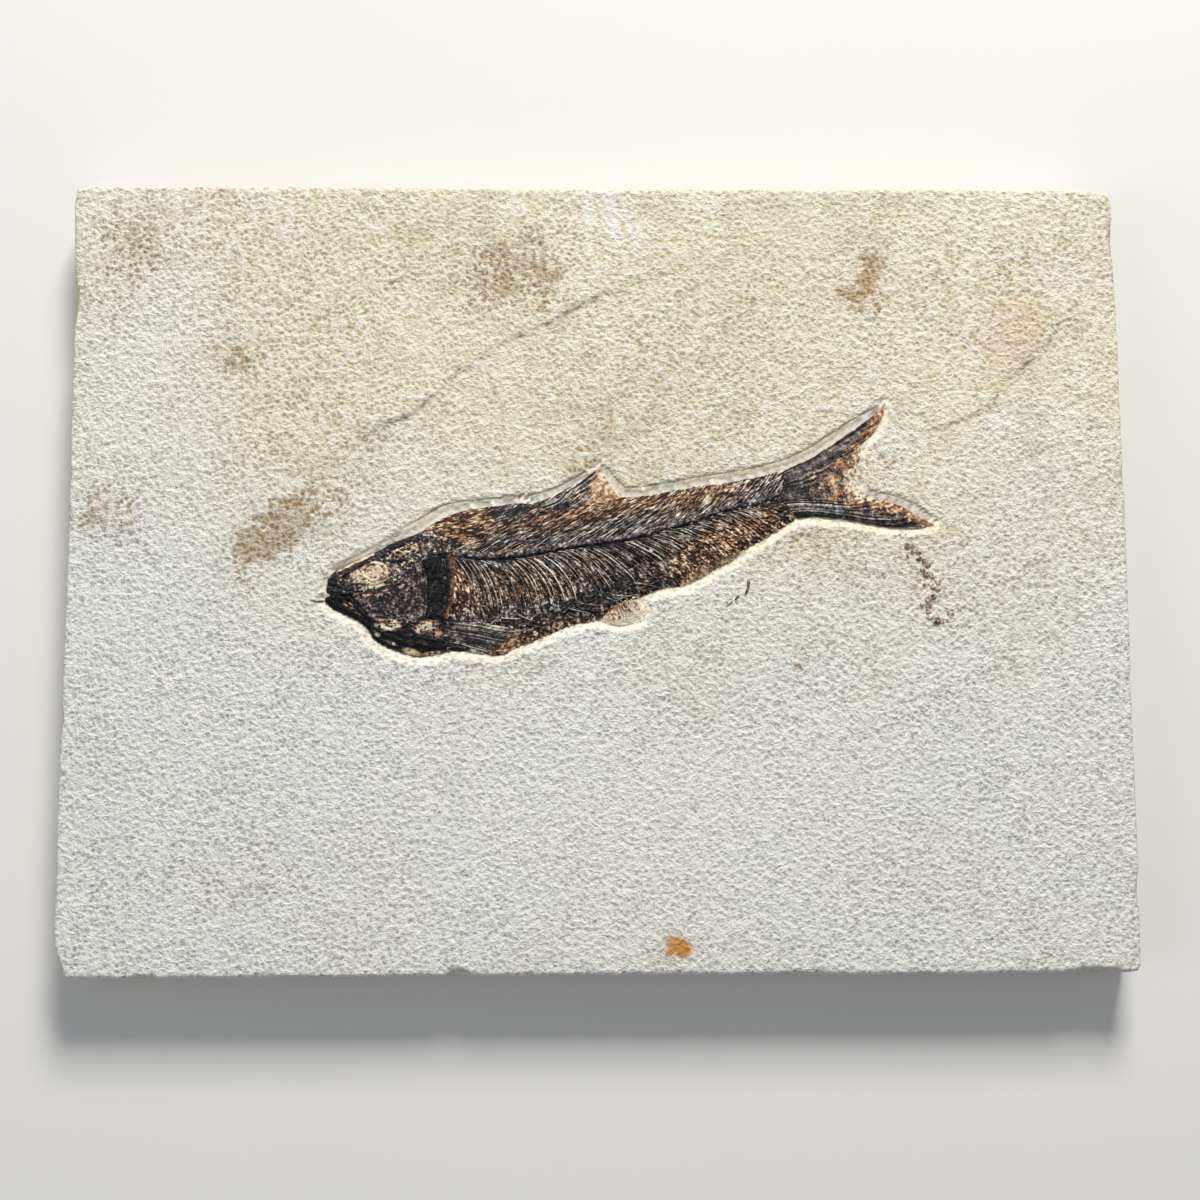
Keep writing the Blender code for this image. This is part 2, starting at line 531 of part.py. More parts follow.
def make_backbone(flank, finish):
    """The vertebrae in a row, with the ribs below and the spines above, lying on the flank."""
    column = resampled(BACKBONE, 2 * VERTEBRAE + 1)
    base = above(flank, column)
    run = np.gradient(column, axis=0)
    run /= np.linalg.norm(run, axis=1)[:, None]
    side = np.stack([-run[:, 1], run[:, 0]], axis=1)
    along = np.linspace(0.0, 1.0, len(column))
    waist = np.where(np.arange(len(column)) % 2, 1.0, 0.72)
    half = (VERTEBRA_WIDTH / 2 * (1.0 - 0.35 * along) * waist)[:, None] * side
    top = base[:, 2] + VERTEBRA_HEIGHT * waist
    rows = [column - half, column - half * 0.45, column + half * 0.45, column + half]
    heights = [base[:, 2] + 0.1, top, top, base[:, 2] + 0.1]
    lower = [column - half, column + half]
    count = len(column)
    rings = [np.column_stack([row, z]) for row, z in zip(rows, heights)]
    rings += [np.column_stack([row, base[:, 2]]) for row in lower[::-1]]
    points = np.stack(rings, axis=1).reshape(-1, 3)
    sides = len(rings)
    faces = [
        (sides * i + k, sides * i + (k + 1) % sides, sides * (i + 1) + (k + 1) % sides, sides * (i + 1) + k)
        for i in range(count - 1) for k in range(sides)
    ]
    faces += [tuple(reversed(range(sides))), tuple(range(sides * (count - 1), sides * count))]
    bone = mesh_object("backbone_ribs", points, faces, finish)

    ribs = []
    for k in range(RIBS):
        share = k / (RIBS - 1)
        x = BACKBONE[0][0] + 1.4 + RIB_SPACING * k
        y = float(np.interp(x, [p[0] for p in BACKBONE], [p[1] for p in BACKBONE])) - 0.3
        path = rib_path(np.array([x, y]), 13.0 - 5.5 * share, 38.0 - 8.0 * share)
        ribs.append(ridge(above(flank, path) + [0, 0, 0.3], RIB_WIDTH, 0.25, sunk=0.24))
    spines = []
    for k in range(SPINE_RAYS):
        x = BACKBONE[0][0] + 1.0 + 2.85 * k
        y = float(np.interp(x, [p[0] for p in BACKBONE], [p[1] for p in BACKBONE])) + 0.3
        heading = math.radians(38.0)
        length = 6.5 - 3.0 * k / SPINE_RAYS
        reach = np.linspace(0.0, length, 3)[:, None] * np.array([math.cos(heading), math.sin(heading)])
        if x + reach[-1, 0] < 37.0:
            spines.append(ridge(above(flank, reach + [x, y]) + [0, 0, 0.3], 0.5, 0.15, sunk=0.24))
    combine(bone, gathered("ribs", ribs, finish), "UNION")
    combine(bone, gathered("spines", spines, finish), "UNION")


def make_fins(finish, pale_finish):
    """The five fins, each a thin plate with its rays."""
    dorsal = Plate("dorsal_fin", (FIN_BASE, FIN_REAR[::-1], FIN_FRONT[1:], FIN_FRONT[:2]),
                   (8, 5), 0.5, 0.25, pale_finish)
    for k in range(7):
        dorsal.add_ridge((0.06 + 0.11 * k, 0.08), (0.30 + 0.09 * k, 0.9), 0.5, 0.18, points=3)
    dorsal.fuse_ridges()

    pectoral = Plate("pectoral_fin", (PECTORAL_EDGE, PECTORAL_REAR[::-1], PECTORAL_TOP, PECTORAL_ROOT[::-1]),
                     (8, 5), 0.55, 0.45, finish)
    for k in range(7):
        pectoral.add_ridge((0.05, 0.25 + 0.09 * k), (0.92, 0.08 + 0.14 * k), 0.55, 0.22, points=5)
    pectoral.fuse_ridges()

    pelvic = Plate("pelvic_fin", (PELVIC_EDGE[:5], PELVIC_EDGE[4:], PELVIC_ROOT[2:], PELVIC_ROOT[:3]),
                   (6, 5), 0.45, 0.2, pale_finish)
    for k in range(5):
        pelvic.add_ridge((0.25 + 0.06 * k, 0.9 - 0.06 * k), (0.88, 0.75 - 0.14 * k), 0.4, 0.15, points=2)
    pelvic.fuse_ridges()

    anal = Plate("anal_fin", (ANAL_EDGE[1:], ANAL_ROOT[-2:][::-1], ANAL_ROOT[1:-1], ANAL_EDGE[:2][::-1]),
                 (10, 3), 0.45, 0.2, pale_finish)
    for k in range(5):
        anal.add_ridge((0.06 + 0.16 * k, 0.9), (0.16 + 0.16 * k, 0.15), 0.45, 0.15, points=2)
    anal.fuse_ridges()

    tail = Plate("tail_fin", (LOWER_LOBE, FORK[::-1], UPPER_LOBE, TAIL_ROOT[::-1]), (10, 14), 0.5, 0.3, finish)
    for v in (0.06, 0.13, 0.21, 0.31, 0.65, 0.75, 0.84, 0.93):
        tail.add_ridge((0.02, 0.5 + (v - 0.5) * 0.9), (0.95, v), 0.6, 0.2, points=5)
    tail.fuse_ridges()


def make_small_fossils(finish):
    """The trail of droppings and the stray spine, which lie on the face."""
    bed = THICKNESS + GAP
    shells = [
        lump((x, y, bed + PELLET_HEIGHT / 2), (1.3 * r, 1.3 * r, PELLET_HEIGHT / 2)) for x, y, r in PELLETS
    ]
    trail = gathered("dropping_trail", shells[::2], finish)
    combine(trail, gathered("dropping_links", shells[1::2], finish), "UNION")
    path = [(x, y, bed + 0.2) for x, y in STRAY_SPINE]
    points, faces = ridge(path, STRAY_SPINE_WIDTH, 0.35, sunk=0.2)
    mesh_object("stray_spine", points, faces, finish)


def main():
    """Build the slab and the fish."""
    clear_scene()
    limestone = material("limestone", (0.74, 0.70, 0.60), 0.9)
    scales = material("scales", (0.16, 0.08, 0.04), 0.55)
    bone = material("dark_bone", (0.05, 0.045, 0.045), 0.4)
    skull_bone = material("skull_bone", (0.10, 0.085, 0.075), 0.5)
    cheek_bone = material("cheek_bone", (0.13, 0.09, 0.08), 0.5)
    black_bone = material("black_bone", (0.015, 0.02, 0.022), 0.25)
    fin = material("fin_rays", (0.08, 0.07, 0.065), 0.5)
    pale_fin = material("pale_fin", (0.35, 0.22, 0.11), 0.6)
    dropping = material("dropping", (0.20, 0.17, 0.14), 0.8)

    make_slab(limestone)
    make_head(skull_bone, black_bone, cheek_bone)
    flank = make_flank(scales)
    make_backbone(flank, bone)
    make_fins(fin, pale_fin)
    make_small_fossils(dropping)


main()
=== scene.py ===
"""Looks of the fossil fish slab: a split limestone slab, lying on its back, with a fossil fish in it.

Lengths are in millimetres until a mesh is made. X runs along the slab towards the fish's tail, Y across
it towards its upper edge, and Z out of its face. Every surface is a grid of points worked out as whole
arrays: first where each point lies, then how high the stone or the fossil stands there, then the masks
that its finish reads.
"""

import logging
import math
from dataclasses import dataclass, field
from enum import Enum
from typing import Callable, Sequence

import bpy
import numpy as np
from mathutils import Matrix, Vector


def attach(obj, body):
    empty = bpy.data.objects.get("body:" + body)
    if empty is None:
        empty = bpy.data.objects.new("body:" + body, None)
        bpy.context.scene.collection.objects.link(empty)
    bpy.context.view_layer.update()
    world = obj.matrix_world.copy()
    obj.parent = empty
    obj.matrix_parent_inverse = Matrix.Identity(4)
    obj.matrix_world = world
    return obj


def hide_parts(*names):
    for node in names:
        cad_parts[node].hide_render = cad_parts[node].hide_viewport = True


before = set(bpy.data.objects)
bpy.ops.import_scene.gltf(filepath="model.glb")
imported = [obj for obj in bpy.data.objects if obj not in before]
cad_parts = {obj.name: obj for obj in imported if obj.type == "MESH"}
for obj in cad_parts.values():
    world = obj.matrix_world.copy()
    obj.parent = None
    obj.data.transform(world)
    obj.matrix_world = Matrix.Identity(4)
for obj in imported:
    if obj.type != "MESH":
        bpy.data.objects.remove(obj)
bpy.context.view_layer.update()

LOG = logging.getLogger("fossil_fish_slab")
MM = 0.001
Array = np.ndarray
Colour = tuple[float, float, float]
Looks = tuple[float, float, float]  # tone, grey and gloss
Line = Sequence[Sequence[float]]  # points whose first two numbers are x and y
Ovals = Sequence[Sequence[float]]  # what oval() takes: x, y, half length, half width, turn, weight

# Levels of the stone and of the fossil, as heights above the surface that the slab lies on.
FACE_Z = 12.0
FLOOR_Z = 10.95  # the recess under the fish
TOE_Z = 11.42  # the strip of floor that shows round it, beside the fish
TOE_FALL = 0.17  # how far it falls to the foot of the wall
BED_Z = 11.0  # the underside of the fish's pieces
SKIN_EDGE_Z = 11.4  # the top of the fish at its outline
TOE_WIDTH = 0.5
STRAND_HEIGHT = 0.8  # a strand's height over its width


# --- Numbers and noise ---------------------------------------------------------------------------


def lattice(i: Array, j: Array, seed: int) -> Array:
    """A fixed random number from 0 to 1 for each whole-numbered point (i, j): mixed bits of i, j and seed."""
    mixed = i.astype(np.int64) * 374761393 + j.astype(np.int64) * 668265263 + seed * 974634777
    mixed = (mixed ^ (mixed >> 13)) & 0xFFFFFFFF
    mixed = (mixed * 1274126177) & 0xFFFFFFFF
    mixed = (mixed ^ (mixed >> 16)) * 2246822519 & 0xFFFFFFFF
    return ((mixed >> 8) & 0xFFFF) / 65535.0


def noise(x: Array, y: Array, seed: int = 0) -> Array:
    """Smooth noise from about -1 to 1 that changes over one unit.

    Each whole point holds a random direction. A place takes, from the four whole points round it, the dot
    product of that direction and the way to the place, blended by t^3 (6t^2 - 15t + 10).
    """
    i, j = np.floor(x), np.floor(y)
    fx, fy = x - i, y - j
    sx, sy = (t**3 * (t * (t * 6 - 15) + 10) for t in (fx, fy))

    def corner(di: int, dj: int) -> Array:
        """What one whole point gives."""
        turn = lattice(i + di, j + dj, seed) * 2 * math.pi
        return np.cos(turn) * (fx - di) + np.sin(turn) * (fy - dj)

    low = corner(0, 0) * (1 - sx) + corner(1, 0) * sx
    high = corner(0, 1) * (1 - sx) + corner(1, 1) * sx
    return 1.5 * (low * (1 - sy) + high * sy)


def layered(x: Array, y: Array, seed: int = 0, layers: int = 3) -> Array:
    """Noise with finer noise added: each layer has twice the detail and half the strength of the last."""
    total = sum(noise(x * 2**k, y * 2**k, seed + 17 * k) * 0.5**k for k in range(layers))
    return total / (2 - 0.5 ** (layers - 1))


def smoothstep(low: float, high: float, value: Array) -> Array:
    """0 below low, 1 above high, and 3t^2 - 2t^3 between them."""
    t = np.clip((value - low) / (high - low), 0.0, 1.0)
    return t * t * (3 - 2 * t)


def fall(low: float, high: float, value: Array) -> Array:
    """1 below low, 0 above high, and smooth between them."""
    return 1 - smoothstep(low, high, value)


def blots(x: Array, y: Array, length: float, width: float, seed: int, low: float, high: float) -> Array:
    """A mask of blots about length by width: layered noise, cut off smoothly between low and high."""
    return smoothstep(low, high, layered(x / length, y / width, seed))


def cells(x: Array, y: Array, seed: int = 0) -> tuple[Array, Array]:
    """Rounded cells, about one to a unit square, round random points.

    Returns:
        The distance to the nearest point, and how much further the second nearest is: 0 on a border.
    """
    i, j = np.floor(x), np.floor(y)
    nearest, second = np.full(np.shape(x), 9.0), np.full(np.shape(x), 9.0)
    for di in (-1, 0, 1):
        for dj in (-1, 0, 1):
            px = i + di + lattice(i + di, j + dj, seed)
            py = j + dj + lattice(i + di, j + dj, seed + 5)
            distance = np.hypot(px - x, py - y)
            second = np.minimum(second, np.maximum(nearest, distance))
            nearest = np.minimum(nearest, distance)
    return nearest, second - nearest


def turned(x: Array, y: Array, degrees: float) -> tuple[Array, Array]:
    """How far each place lies along a direction, and how far to its left."""
    c, s = math.cos(math.radians(degrees)), math.sin(math.radians(degrees))
    return x * c + y * s, y * c - x * s


def fibres(x: Array, y: Array, degrees: float, pitch: float, length: float, seed: int) -> Array:
    """Noise drawn out along a direction: pitch is its width and length its run."""
    run, across = turned(x, y, degrees)
    return layered(run / length, across / pitch, seed, 2)


def oval(x: Array, y: Array, middle_x: float, middle_y: float, half_length: float, half_width: float,
         degrees: float = 0.0, weight: float = 1.0) -> Array:
    """A soft-edged oval spot: weight times e^-(r^4), with r the distance from its middle in half sizes."""
    u, v = turned(x - middle_x, y - middle_y, degrees)
    u, v = u / half_length, v / half_width
    return weight * np.exp(-((u * u + v * v) ** 2))


def cover(spots: Ovals, x: Array, y: Array) -> Array:
    """The sum of several ovals at each place."""
    return sum(oval(x, y, *spot) for spot in spots)


def inked(spots: Ovals, x: Array, y: Array) -> Array:
    """The same, held to 1."""
    return np.clip(cover(spots, x, y), 0, 1)


# --- Lines and grids -----------------------------------------------------------------------------


def along(line: Line, x: Array) -> Array:
    """Height of a line, given as points in order of x, at each x."""
    return np.interp(x, [p[0] for p in line], [p[1] for p in line])


def home(line: Line) -> list:
    """A line run the other way."""
    return list(line)[::-1]


def joined(*lines: Line) -> list:
    """One line from lines that follow each other end to end."""
    return [point for line in lines[:-1] for point in line[:-1]] + list(lines[-1])


def walk(line: Line, fractions: Array) -> Array:
    """The places (x, y) at the given fractions of a line's length."""
    line = np.array([point[:2] for point in line], float)
    run = np.concatenate([[0.0], np.cumsum(np.linalg.norm(np.diff(line, axis=0), axis=1))])
    return np.stack([np.interp(fractions * run[-1], run, column) for column in line.T], axis=1)


def coons(south: Array, east: Array, north: Array, west: Array, u: Array, v: Array) -> Array:
    """The grid of points between four lines that share their ends.

    South and north run along u, west and east along v. A point is the blend of south and north, plus
    the blend of west and east, less the blend of the four corners.
    """
    u, v = u[None, :, None], v[:, None, None]
    rows = (1 - v) * south[None] + v * north[None]
    columns = (1 - u) * west[:, None] + u * east[:, None]
    low = (1 - u) * south[0] + u * south[-1]
    high = (1 - u) * north[0] + u * north[-1]
    return rows + columns - ((1 - v) * low + v * high)


def between(lines: Sequence[Line], u: Array, v: Array) -> Array:
    """The grid between the lines south, east, north and west, at the fractions u and v of their lengths."""
    return coons(*(walk(line, t) for line, t in zip(lines, (u, v, u, v))), u, v)


def graded(low: float, high: float, count: int, density: Callable[[Array], Array]) -> Array:
    """Fractions from 0 to 1 for count lines between low and high, closer where the density is higher.

    The running total of the density is shared out evenly.
    """
    places = np.linspace(low, high, 4001)
    total = np.concatenate([[0.0], np.cumsum(density(0.5 * (places[1:] + places[:-1])))])
    even = np.linspace(0.0, total[-1], count)
    return (np.interp(even, total, places) - low) / (high - low)


class Loop:
    """A closed outline whose points may carry one further value, such as a wall's width."""

    block: int = 6000  # how many points are worked out at a time

    def __init__(self, points: Line) -> None:
        """Args:
            points: (x, y, value), in order round the outline.
        """
        self.start = np.asarray(points, float)
        self.end = np.roll(self.start, -1, axis=0)

    def nearest(self, x: Array, y: Array) -> tuple[Array, Array, Array]:
        """The nearest place of the outline to each point.

        Returns:
            The distance, negative inside; the way out, as unit vectors; and the value carried there.
        """
        flat = np.stack([x.ravel(), y.ravel()], axis=1)
        parts = [self.nearest_to(flat[k:k + self.block]) for k in range(0, len(flat), self.block)]
        distance, way, carried = (np.concatenate(part) for part in zip(*parts))
        return distance.reshape(x.shape), way.reshape(*x.shape, 2), carried.reshape(x.shape)

    def nearest_to(self, flat: Array) -> tuple[Array, Array, Array]:
        """The same for a block of points; one is inside where a ray to its right crosses an odd number
        of the outline's sides."""
        start, end = self.start, self.end
        side = end[:, :2] - start[:, :2]
        offset = flat[:, None] - start[None, :, :2]
        t = np.clip((offset * side).sum(-1) / (side * side).sum(-1), 0.0, 1.0)
        gap = offset - t[..., None] * side
        squared = (gap * gap).sum(-1)
        best = squared.argmin(axis=1)
        rows = np.arange(len(flat))
        distance = np.sqrt(squared[rows, best])
        above = (start[:, 1] > flat[:, 1:2]) != (end[:, 1] > flat[:, 1:2])
        rise = np.where(side[:, 1] == 0, 1.0, side[:, 1])
        crossing = start[:, 0] + (flat[:, 1:2] - start[:, 1]) * side[:, 0] / rise
        inside = (above & (flat[:, 0:1] < crossing)).sum(axis=1) % 2 == 1
        sign = np.where(inside, -1.0, 1.0)
        way = gap[rows, best] / np.maximum(distance, 1e-9)[:, None] * sign[:, None]
        share = t[rows, best]
        return distance * sign, way, start[best, 2] * (1 - share) + end[best, 2] * share


# --- Meshes --------------------------------------------------------------------------------------


def rim_of(index: Array) -> Array:
    """The border of a grid of point numbers, once round, anticlockwise from its first point."""
    return np.concatenate([index[0], index[1:, -1], index[-1, -2::-1], index[-2:0:-1, 0]])


def grid_faces(index: Array) -> Array:
    """The faces of four of a grid of point numbers, facing up where u is to the right and v upwards."""
    return np.stack([index[:-1, :-1], index[:-1, 1:], index[1:, 1:], index[1:, :-1]], axis=-1).reshape(-1, 4)


def ring_faces(lower: Array, upper: Array) -> Array:
    """The faces between two rings of point numbers, facing out where the rings run anticlockwise."""
    return np.stack([lower, np.roll(lower, -1), np.roll(upper, -1), upper], axis=1)


def write(mesh: bpy.types.Mesh, name: str, kind: str, values: Array) -> None:
    """Give a mesh's points an attribute, of the kind FLOAT_COLOR or FLOAT_VECTOR."""
    layer = mesh.attributes.new(name, kind, "POINT")
    layer.data.foreach_set(kind[6:].lower(), values.astype(np.float32).ravel())


def dress(piece: bpy.types.Object, node: str) -> None:
    """Let a piece ride on the stone and stand for a CAD node, whose own part is hidden."""
    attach(piece, "root")
    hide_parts(node)
    LOG.info("%s stands for %s, with %d faces", piece.name, node, len(piece.data.polygons))


@dataclass
class Shell:
    """A closed surface being gathered: its points, its faces of four, its other faces and its masks."""

    points: list[Array] = field(default_factory=list)
    quads: list[Array] = field(default_factory=list)
    others: list[Sequence[int]] = field(default_factory=list)
    masks: list[Array] = field(default_factory=list)
    count: int = 0

    def add(self, points: Array, quads: Array, others: Sequence[Sequence[int]], masks: Array) -> None:
        """Add points (n, 3), faces that number them from 0, and their masks (n, 4)."""
        self.points.append(points)
        self.masks.append(masks)
        self.quads.append(quads + self.count)
        self.others += [np.asarray(face) + self.count for face in others]
        self.count += len(points)

    def add_sheet(self, top: Array, masks: Array, foot_z: Array | float) -> None:
        """Add a closed sheet: a grid of points (rows, columns, 3), let down at its rim to foot_z.

        The underside is closed by strips from the south rim to the north one, and a face at each end.
        """
        rows, columns = top.shape[0] - 1, top.shape[1] - 1
        index = np.arange(top[..., 0].size).reshape(top.shape[:2])
        rim = rim_of(index)
        points, looks = top.reshape(-1, 3), masks.reshape(-1, 4)
        foot = points[rim].copy()
        foot[:, 2] = foot_z
        low_rim = np.arange(len(rim)) + len(points)
        low = low_rim[:columns + 1]
        high = low_rim[columns + rows:2 * columns + rows + 1][::-1]
        under = np.stack([low[:-1], high[:-1], high[1:], low[1:]], axis=1)
        west = [*low_rim[2 * columns + rows:], low_rim[0]]
        # The foot's tone is 0.6 of the rim's: painted shade down the sheet's sides.
        self.add(np.concatenate([points, foot]),
                 np.concatenate([grid_faces(index), ring_faces(low_rim, rim), under]),
                 [west[::-1], low_rim[columns:columns + rows + 1][::-1]],
                 np.concatenate([looks, looks[rim] * [0.6, 1, 1, 1]]))

    def add_tubes(self, paths: Array, radii: Array, look: Sequence[float] | Array, sides: int = 5) -> None:
        """Add round strands along several paths of the same number of points.

        Each point of a path carries a ring at right angles to it: radius times (cos a, STRAND_HEIGHT
        times sin a) in the frame of the path's side and its up. The ends are closed by flat faces.

        Args:
            paths: Centre lines, (strands, points, 3).
            radii: Radius at each of their points, (strands, points).
            look: Four masks, or four for each strand.
            sides: Points in a ring.
        """
        strands, length = paths.shape[:2]
        run = np.gradient(paths, axis=1)
        run /= np.linalg.norm(run, axis=2, keepdims=True)
        side = np.stack([-run[..., 1], run[..., 0], np.zeros_like(run[..., 0])], axis=-1)
        side /= np.linalg.norm(side, axis=2, keepdims=True)
        angle = np.linspace(0.0, 2 * math.pi, sides, endpoint=False)[None, None, :, None]
        across = np.cos(angle) * side[:, :, None]
        rise = STRAND_HEIGHT * np.sin(angle) * np.cross(run, side)[:, :, None]
        points = paths[:, :, None] + radii[..., None, None] * (across + rise)
        index = np.arange(points[..., 0].size).reshape(strands, length, sides)
        beside = np.roll(index, -1, axis=2)
        quads = np.stack([index[:, :-1], beside[:, :-1], beside[:, 1:], index[:, 1:]], axis=-1)
        looks = np.broadcast_to(np.asarray(look, float), (strands, 4))
        self.add(points.reshape(-1, 3), quads.reshape(-1, 4), [*index[:, 0, ::-1], *index[:, -1]],
                 np.repeat(looks, length * sides, axis=0))

    def to_object(self, name: str, node: str, material: bpy.types.Material) -> bpy.types.Object:
        """Make the object in metres, with the masks as the colour attribute "masks", and dress it."""
        quads = np.concatenate(self.quads)
        sizes = np.concatenate([np.full(len(quads), 4), [len(face) for face in self.others]]).astype(int)
        corners = np.concatenate([quads.ravel(), *self.others]).astype(np.int32)
        mesh = bpy.data.meshes.new(name)
        mesh.vertices.add(self.count)
        mesh.vertices.foreach_set("co", (np.concatenate(self.points) * MM).astype(np.float32).ravel())
        mesh.loops.add(len(corners))
        mesh.loops.foreach_set("vertex_index", corners)
        mesh.polygons.add(len(sizes))
        mesh.polygons.foreach_set("loop_start", (np.cumsum(sizes) - sizes).astype(np.int32))
        mesh.update(calc_edges=True)
        mesh.polygons.foreach_set("use_smooth", np.ones(len(sizes), bool))
        write(mesh, "masks", "FLOAT_COLOR", np.concatenate(self.masks))
        mesh.validate()
        mesh.materials.append(material)
        piece = bpy.data.objects.new(name, mesh)
        bpy.context.scene.collection.objects.link(piece)
        dress(piece, node)
        return piece


# --- Finishes ------------------------------------------------------------------------------------


def paint(red: int, green: int, blue: int) -> Colour:
    """A colour from its screen values, 0 to 255, as the linear light that a shader takes."""
    values = (c / 255.0 for c in (red, green, blue))
    return tuple(c / 12.92 if c <= 0.04045 else ((c + 0.055) / 1.055) ** 2.4 for c in values)


class Nodes:
    """A short way to write a shader's nodes and the links between them."""

    def __init__(self, tree: bpy.types.NodeTree) -> None:
        """Args:
            tree: The material's or the group's node tree.
        """
        self.tree = tree

    def feed(self, socket: bpy.types.NodeSocket, source: object) -> None:
        """Give an input a link from an output, or a plain value."""
        if isinstance(source, bpy.types.NodeSocket):
            self.tree.links.new(source, socket)
        elif isinstance(source, tuple) and len(source) == 3 and socket.type == "RGBA":
            socket.default_value = (*source, 1.0)
        else:
            socket.default_value = source

    def add(self, kind: str, inputs: dict[str | int, object] | None = None,
            **settings: object) -> bpy.types.Node:
        """A shader node of a kind, with its settings and what feeds its inputs."""
        node = self.tree.nodes.new("ShaderNode" + kind)
        for name, value in settings.items():
            setattr(node, name, value)
        for name, source in (inputs or {}).items():
            self.feed(node.inputs[name], source)
        return node

    def place(self) -> object:
        """The object's own places."""
        return self.add("TexCoord").outputs["Object"]

    def maths(self, operation: str, first: object, second: object, clamp: bool = False) -> object:
        """The output of a Math node."""
        return self.add("Math", {0: first, 1: second}, operation=operation, use_clamp=clamp).outputs[0]

    def plus(self, first: object, second: object, clamp: bool = False) -> object:
        """A sum."""
        return self.maths("ADD", first, second, clamp)

    def minus(self, first: object, second: object, clamp: bool = False) -> object:
        """A difference."""
        return self.maths("SUBTRACT", first, second, clamp)

    def times(self, first: object, second: object, clamp: bool = False) -> object:
        """A product."""
        return self.maths("MULTIPLY", first, second, clamp)

    def share(self, factor: float, *masks: object) -> object:
        """The product of masks and a factor, held to 1."""
        product = masks[0]
        for mask in masks[1:]:
            product = self.times(product, mask)
        return self.times(product, factor, True)

    def mix(self, share: object, first: object, second: object, blend: str = "MIX") -> object:
        """The output of a colour Mix node."""
        feeds = {"Factor": share, 6: first, 7: second}
        return self.add("Mix", feeds, data_type="RGBA", blend_type=blend).outputs[2]

    def span(self, value: object, low: float, high: float, to_low: float = 0.0,
             to_high: float = 1.0) -> object:
        """A value carried smoothly from one range to another, and held at its ends."""
        feeds = {"Value": value, "From Min": low, "From Max": high, "To Min": to_low, "To Max": to_high}
        return self.add("MapRange", feeds, interpolation_type="SMOOTHSTEP").outputs["Result"]

    def ramp(self, value: object, *stops: tuple[float, int, int, int]) -> object:
        """The colour of a ramp whose stops are a place and a colour's screen values."""
        node = self.add("ValToRGB", {"Fac": value})
        for place, *_ in stops[2:]:
            node.color_ramp.elements.new(place)
        for element, (place, *colour) in zip(node.color_ramp.elements, stops):
            element.position = place
            element.color = (*paint(*colour), 1.0)
        return node.outputs["Color"]

    def noise(self, place: object, per_mm: float, detail: float = 3.0, rough: float = 0.55) -> object:
        """A Noise node's value; per_mm is how many of its bumps there are to a millimetre."""
        feeds = {"Vector": place, "Scale": per_mm / MM, "Detail": detail, "Roughness": rough}
        return self.add("TexNoise", feeds).outputs["Fac"]

    def attribute(self, name: str) -> tuple[tuple, object]:
        """The first three channels of a colour attribute, and its fourth."""
        node = self.add("Attribute", attribute_name=name)
        parts = self.add("SeparateColor", {"Color": node.outputs["Color"]})
        return tuple(parts.outputs), node.outputs["Alpha"]

    def group(self, tree: bpy.types.NodeTree, **values: object) -> bpy.types.Node:
        """A placed group, with its inputs given by name (an underscore stands for a space)."""
        return self.add("Group", {name.replace("_", " "): value for name, value in values.items()},
                        node_tree=tree)


def new_material(name: str) -> tuple[bpy.types.Material, Nodes, bpy.types.NodeInputs]:
    """A material, its nodes' writer and its shader's inputs."""
    material = bpy.data.materials.new(name)
    material.use_nodes = True
    return material, Nodes(material.node_tree), material.node_tree.nodes["Principled BSDF"].inputs


def new_group(name: str, inputs: dict[str, float], outputs: Sequence[str]) -> tuple:
    """A node group that takes a Place and numbers.

    Args:
        name: The group's name.
        inputs: The value of each number that it takes.
        outputs: What it puts out: the one called Color is a colour, and the others are numbers.

    Returns:
        The tree, its nodes' writer, what it is given and what it puts out, by name.
    """
    tree = bpy.data.node_groups.new(name, "ShaderNodeTree")
    tree.interface.new_socket("Place", in_out="INPUT", socket_type="NodeSocketVector")
    for label, value in inputs.items():
        tree.interface.new_socket(label, in_out="INPUT", socket_type="NodeSocketFloat").default_value = value
    for label in outputs:
        kind = "NodeSocketColor" if label == "Color" else "NodeSocketFloat"
        tree.interface.new_socket(label, in_out="OUTPUT", socket_type=kind)
    given, result = tree.nodes.new("NodeGroupInput"), tree.nodes.new("NodeGroupOutput")
    return tree, Nodes(tree), given.outputs, result.inputs


def build_speckle_group() -> bpy.types.NodeTree:
    """Group "speckle": a clumped mask of fine spots, denser where Amount is higher.

    The mask is noise at the spots' scale plus broader noise that clumps them, cut off at a level that
    falls as Amount rises.
    """
    tree, nodes, given, result = new_group(
        "speckle", {"Amount": 0.5, "Per mm": 1.0, "Softness": 0.08}, ["Mask"])
    scale = nodes.times(given["Per mm"], 1.0 / MM)
    fine, broad = (
        nodes.add("TexNoise", {"Vector": given["Place"], "Scale": nodes.times(scale, share),
                               "Detail": detail}).outputs["Fac"]
        for share, detail in ((1.0, 3.0), (0.22, 2.0))
    )
    clumped = nodes.plus(nodes.times(fine, 0.62), nodes.times(broad, 0.38))
    level = nodes.minus(0.72, nodes.times(given["Amount"], 0.36))
    nodes.feed(result["Mask"], nodes.maths("DIVIDE", nodes.minus(clumped, level), given["Softness"], True))
    return tree


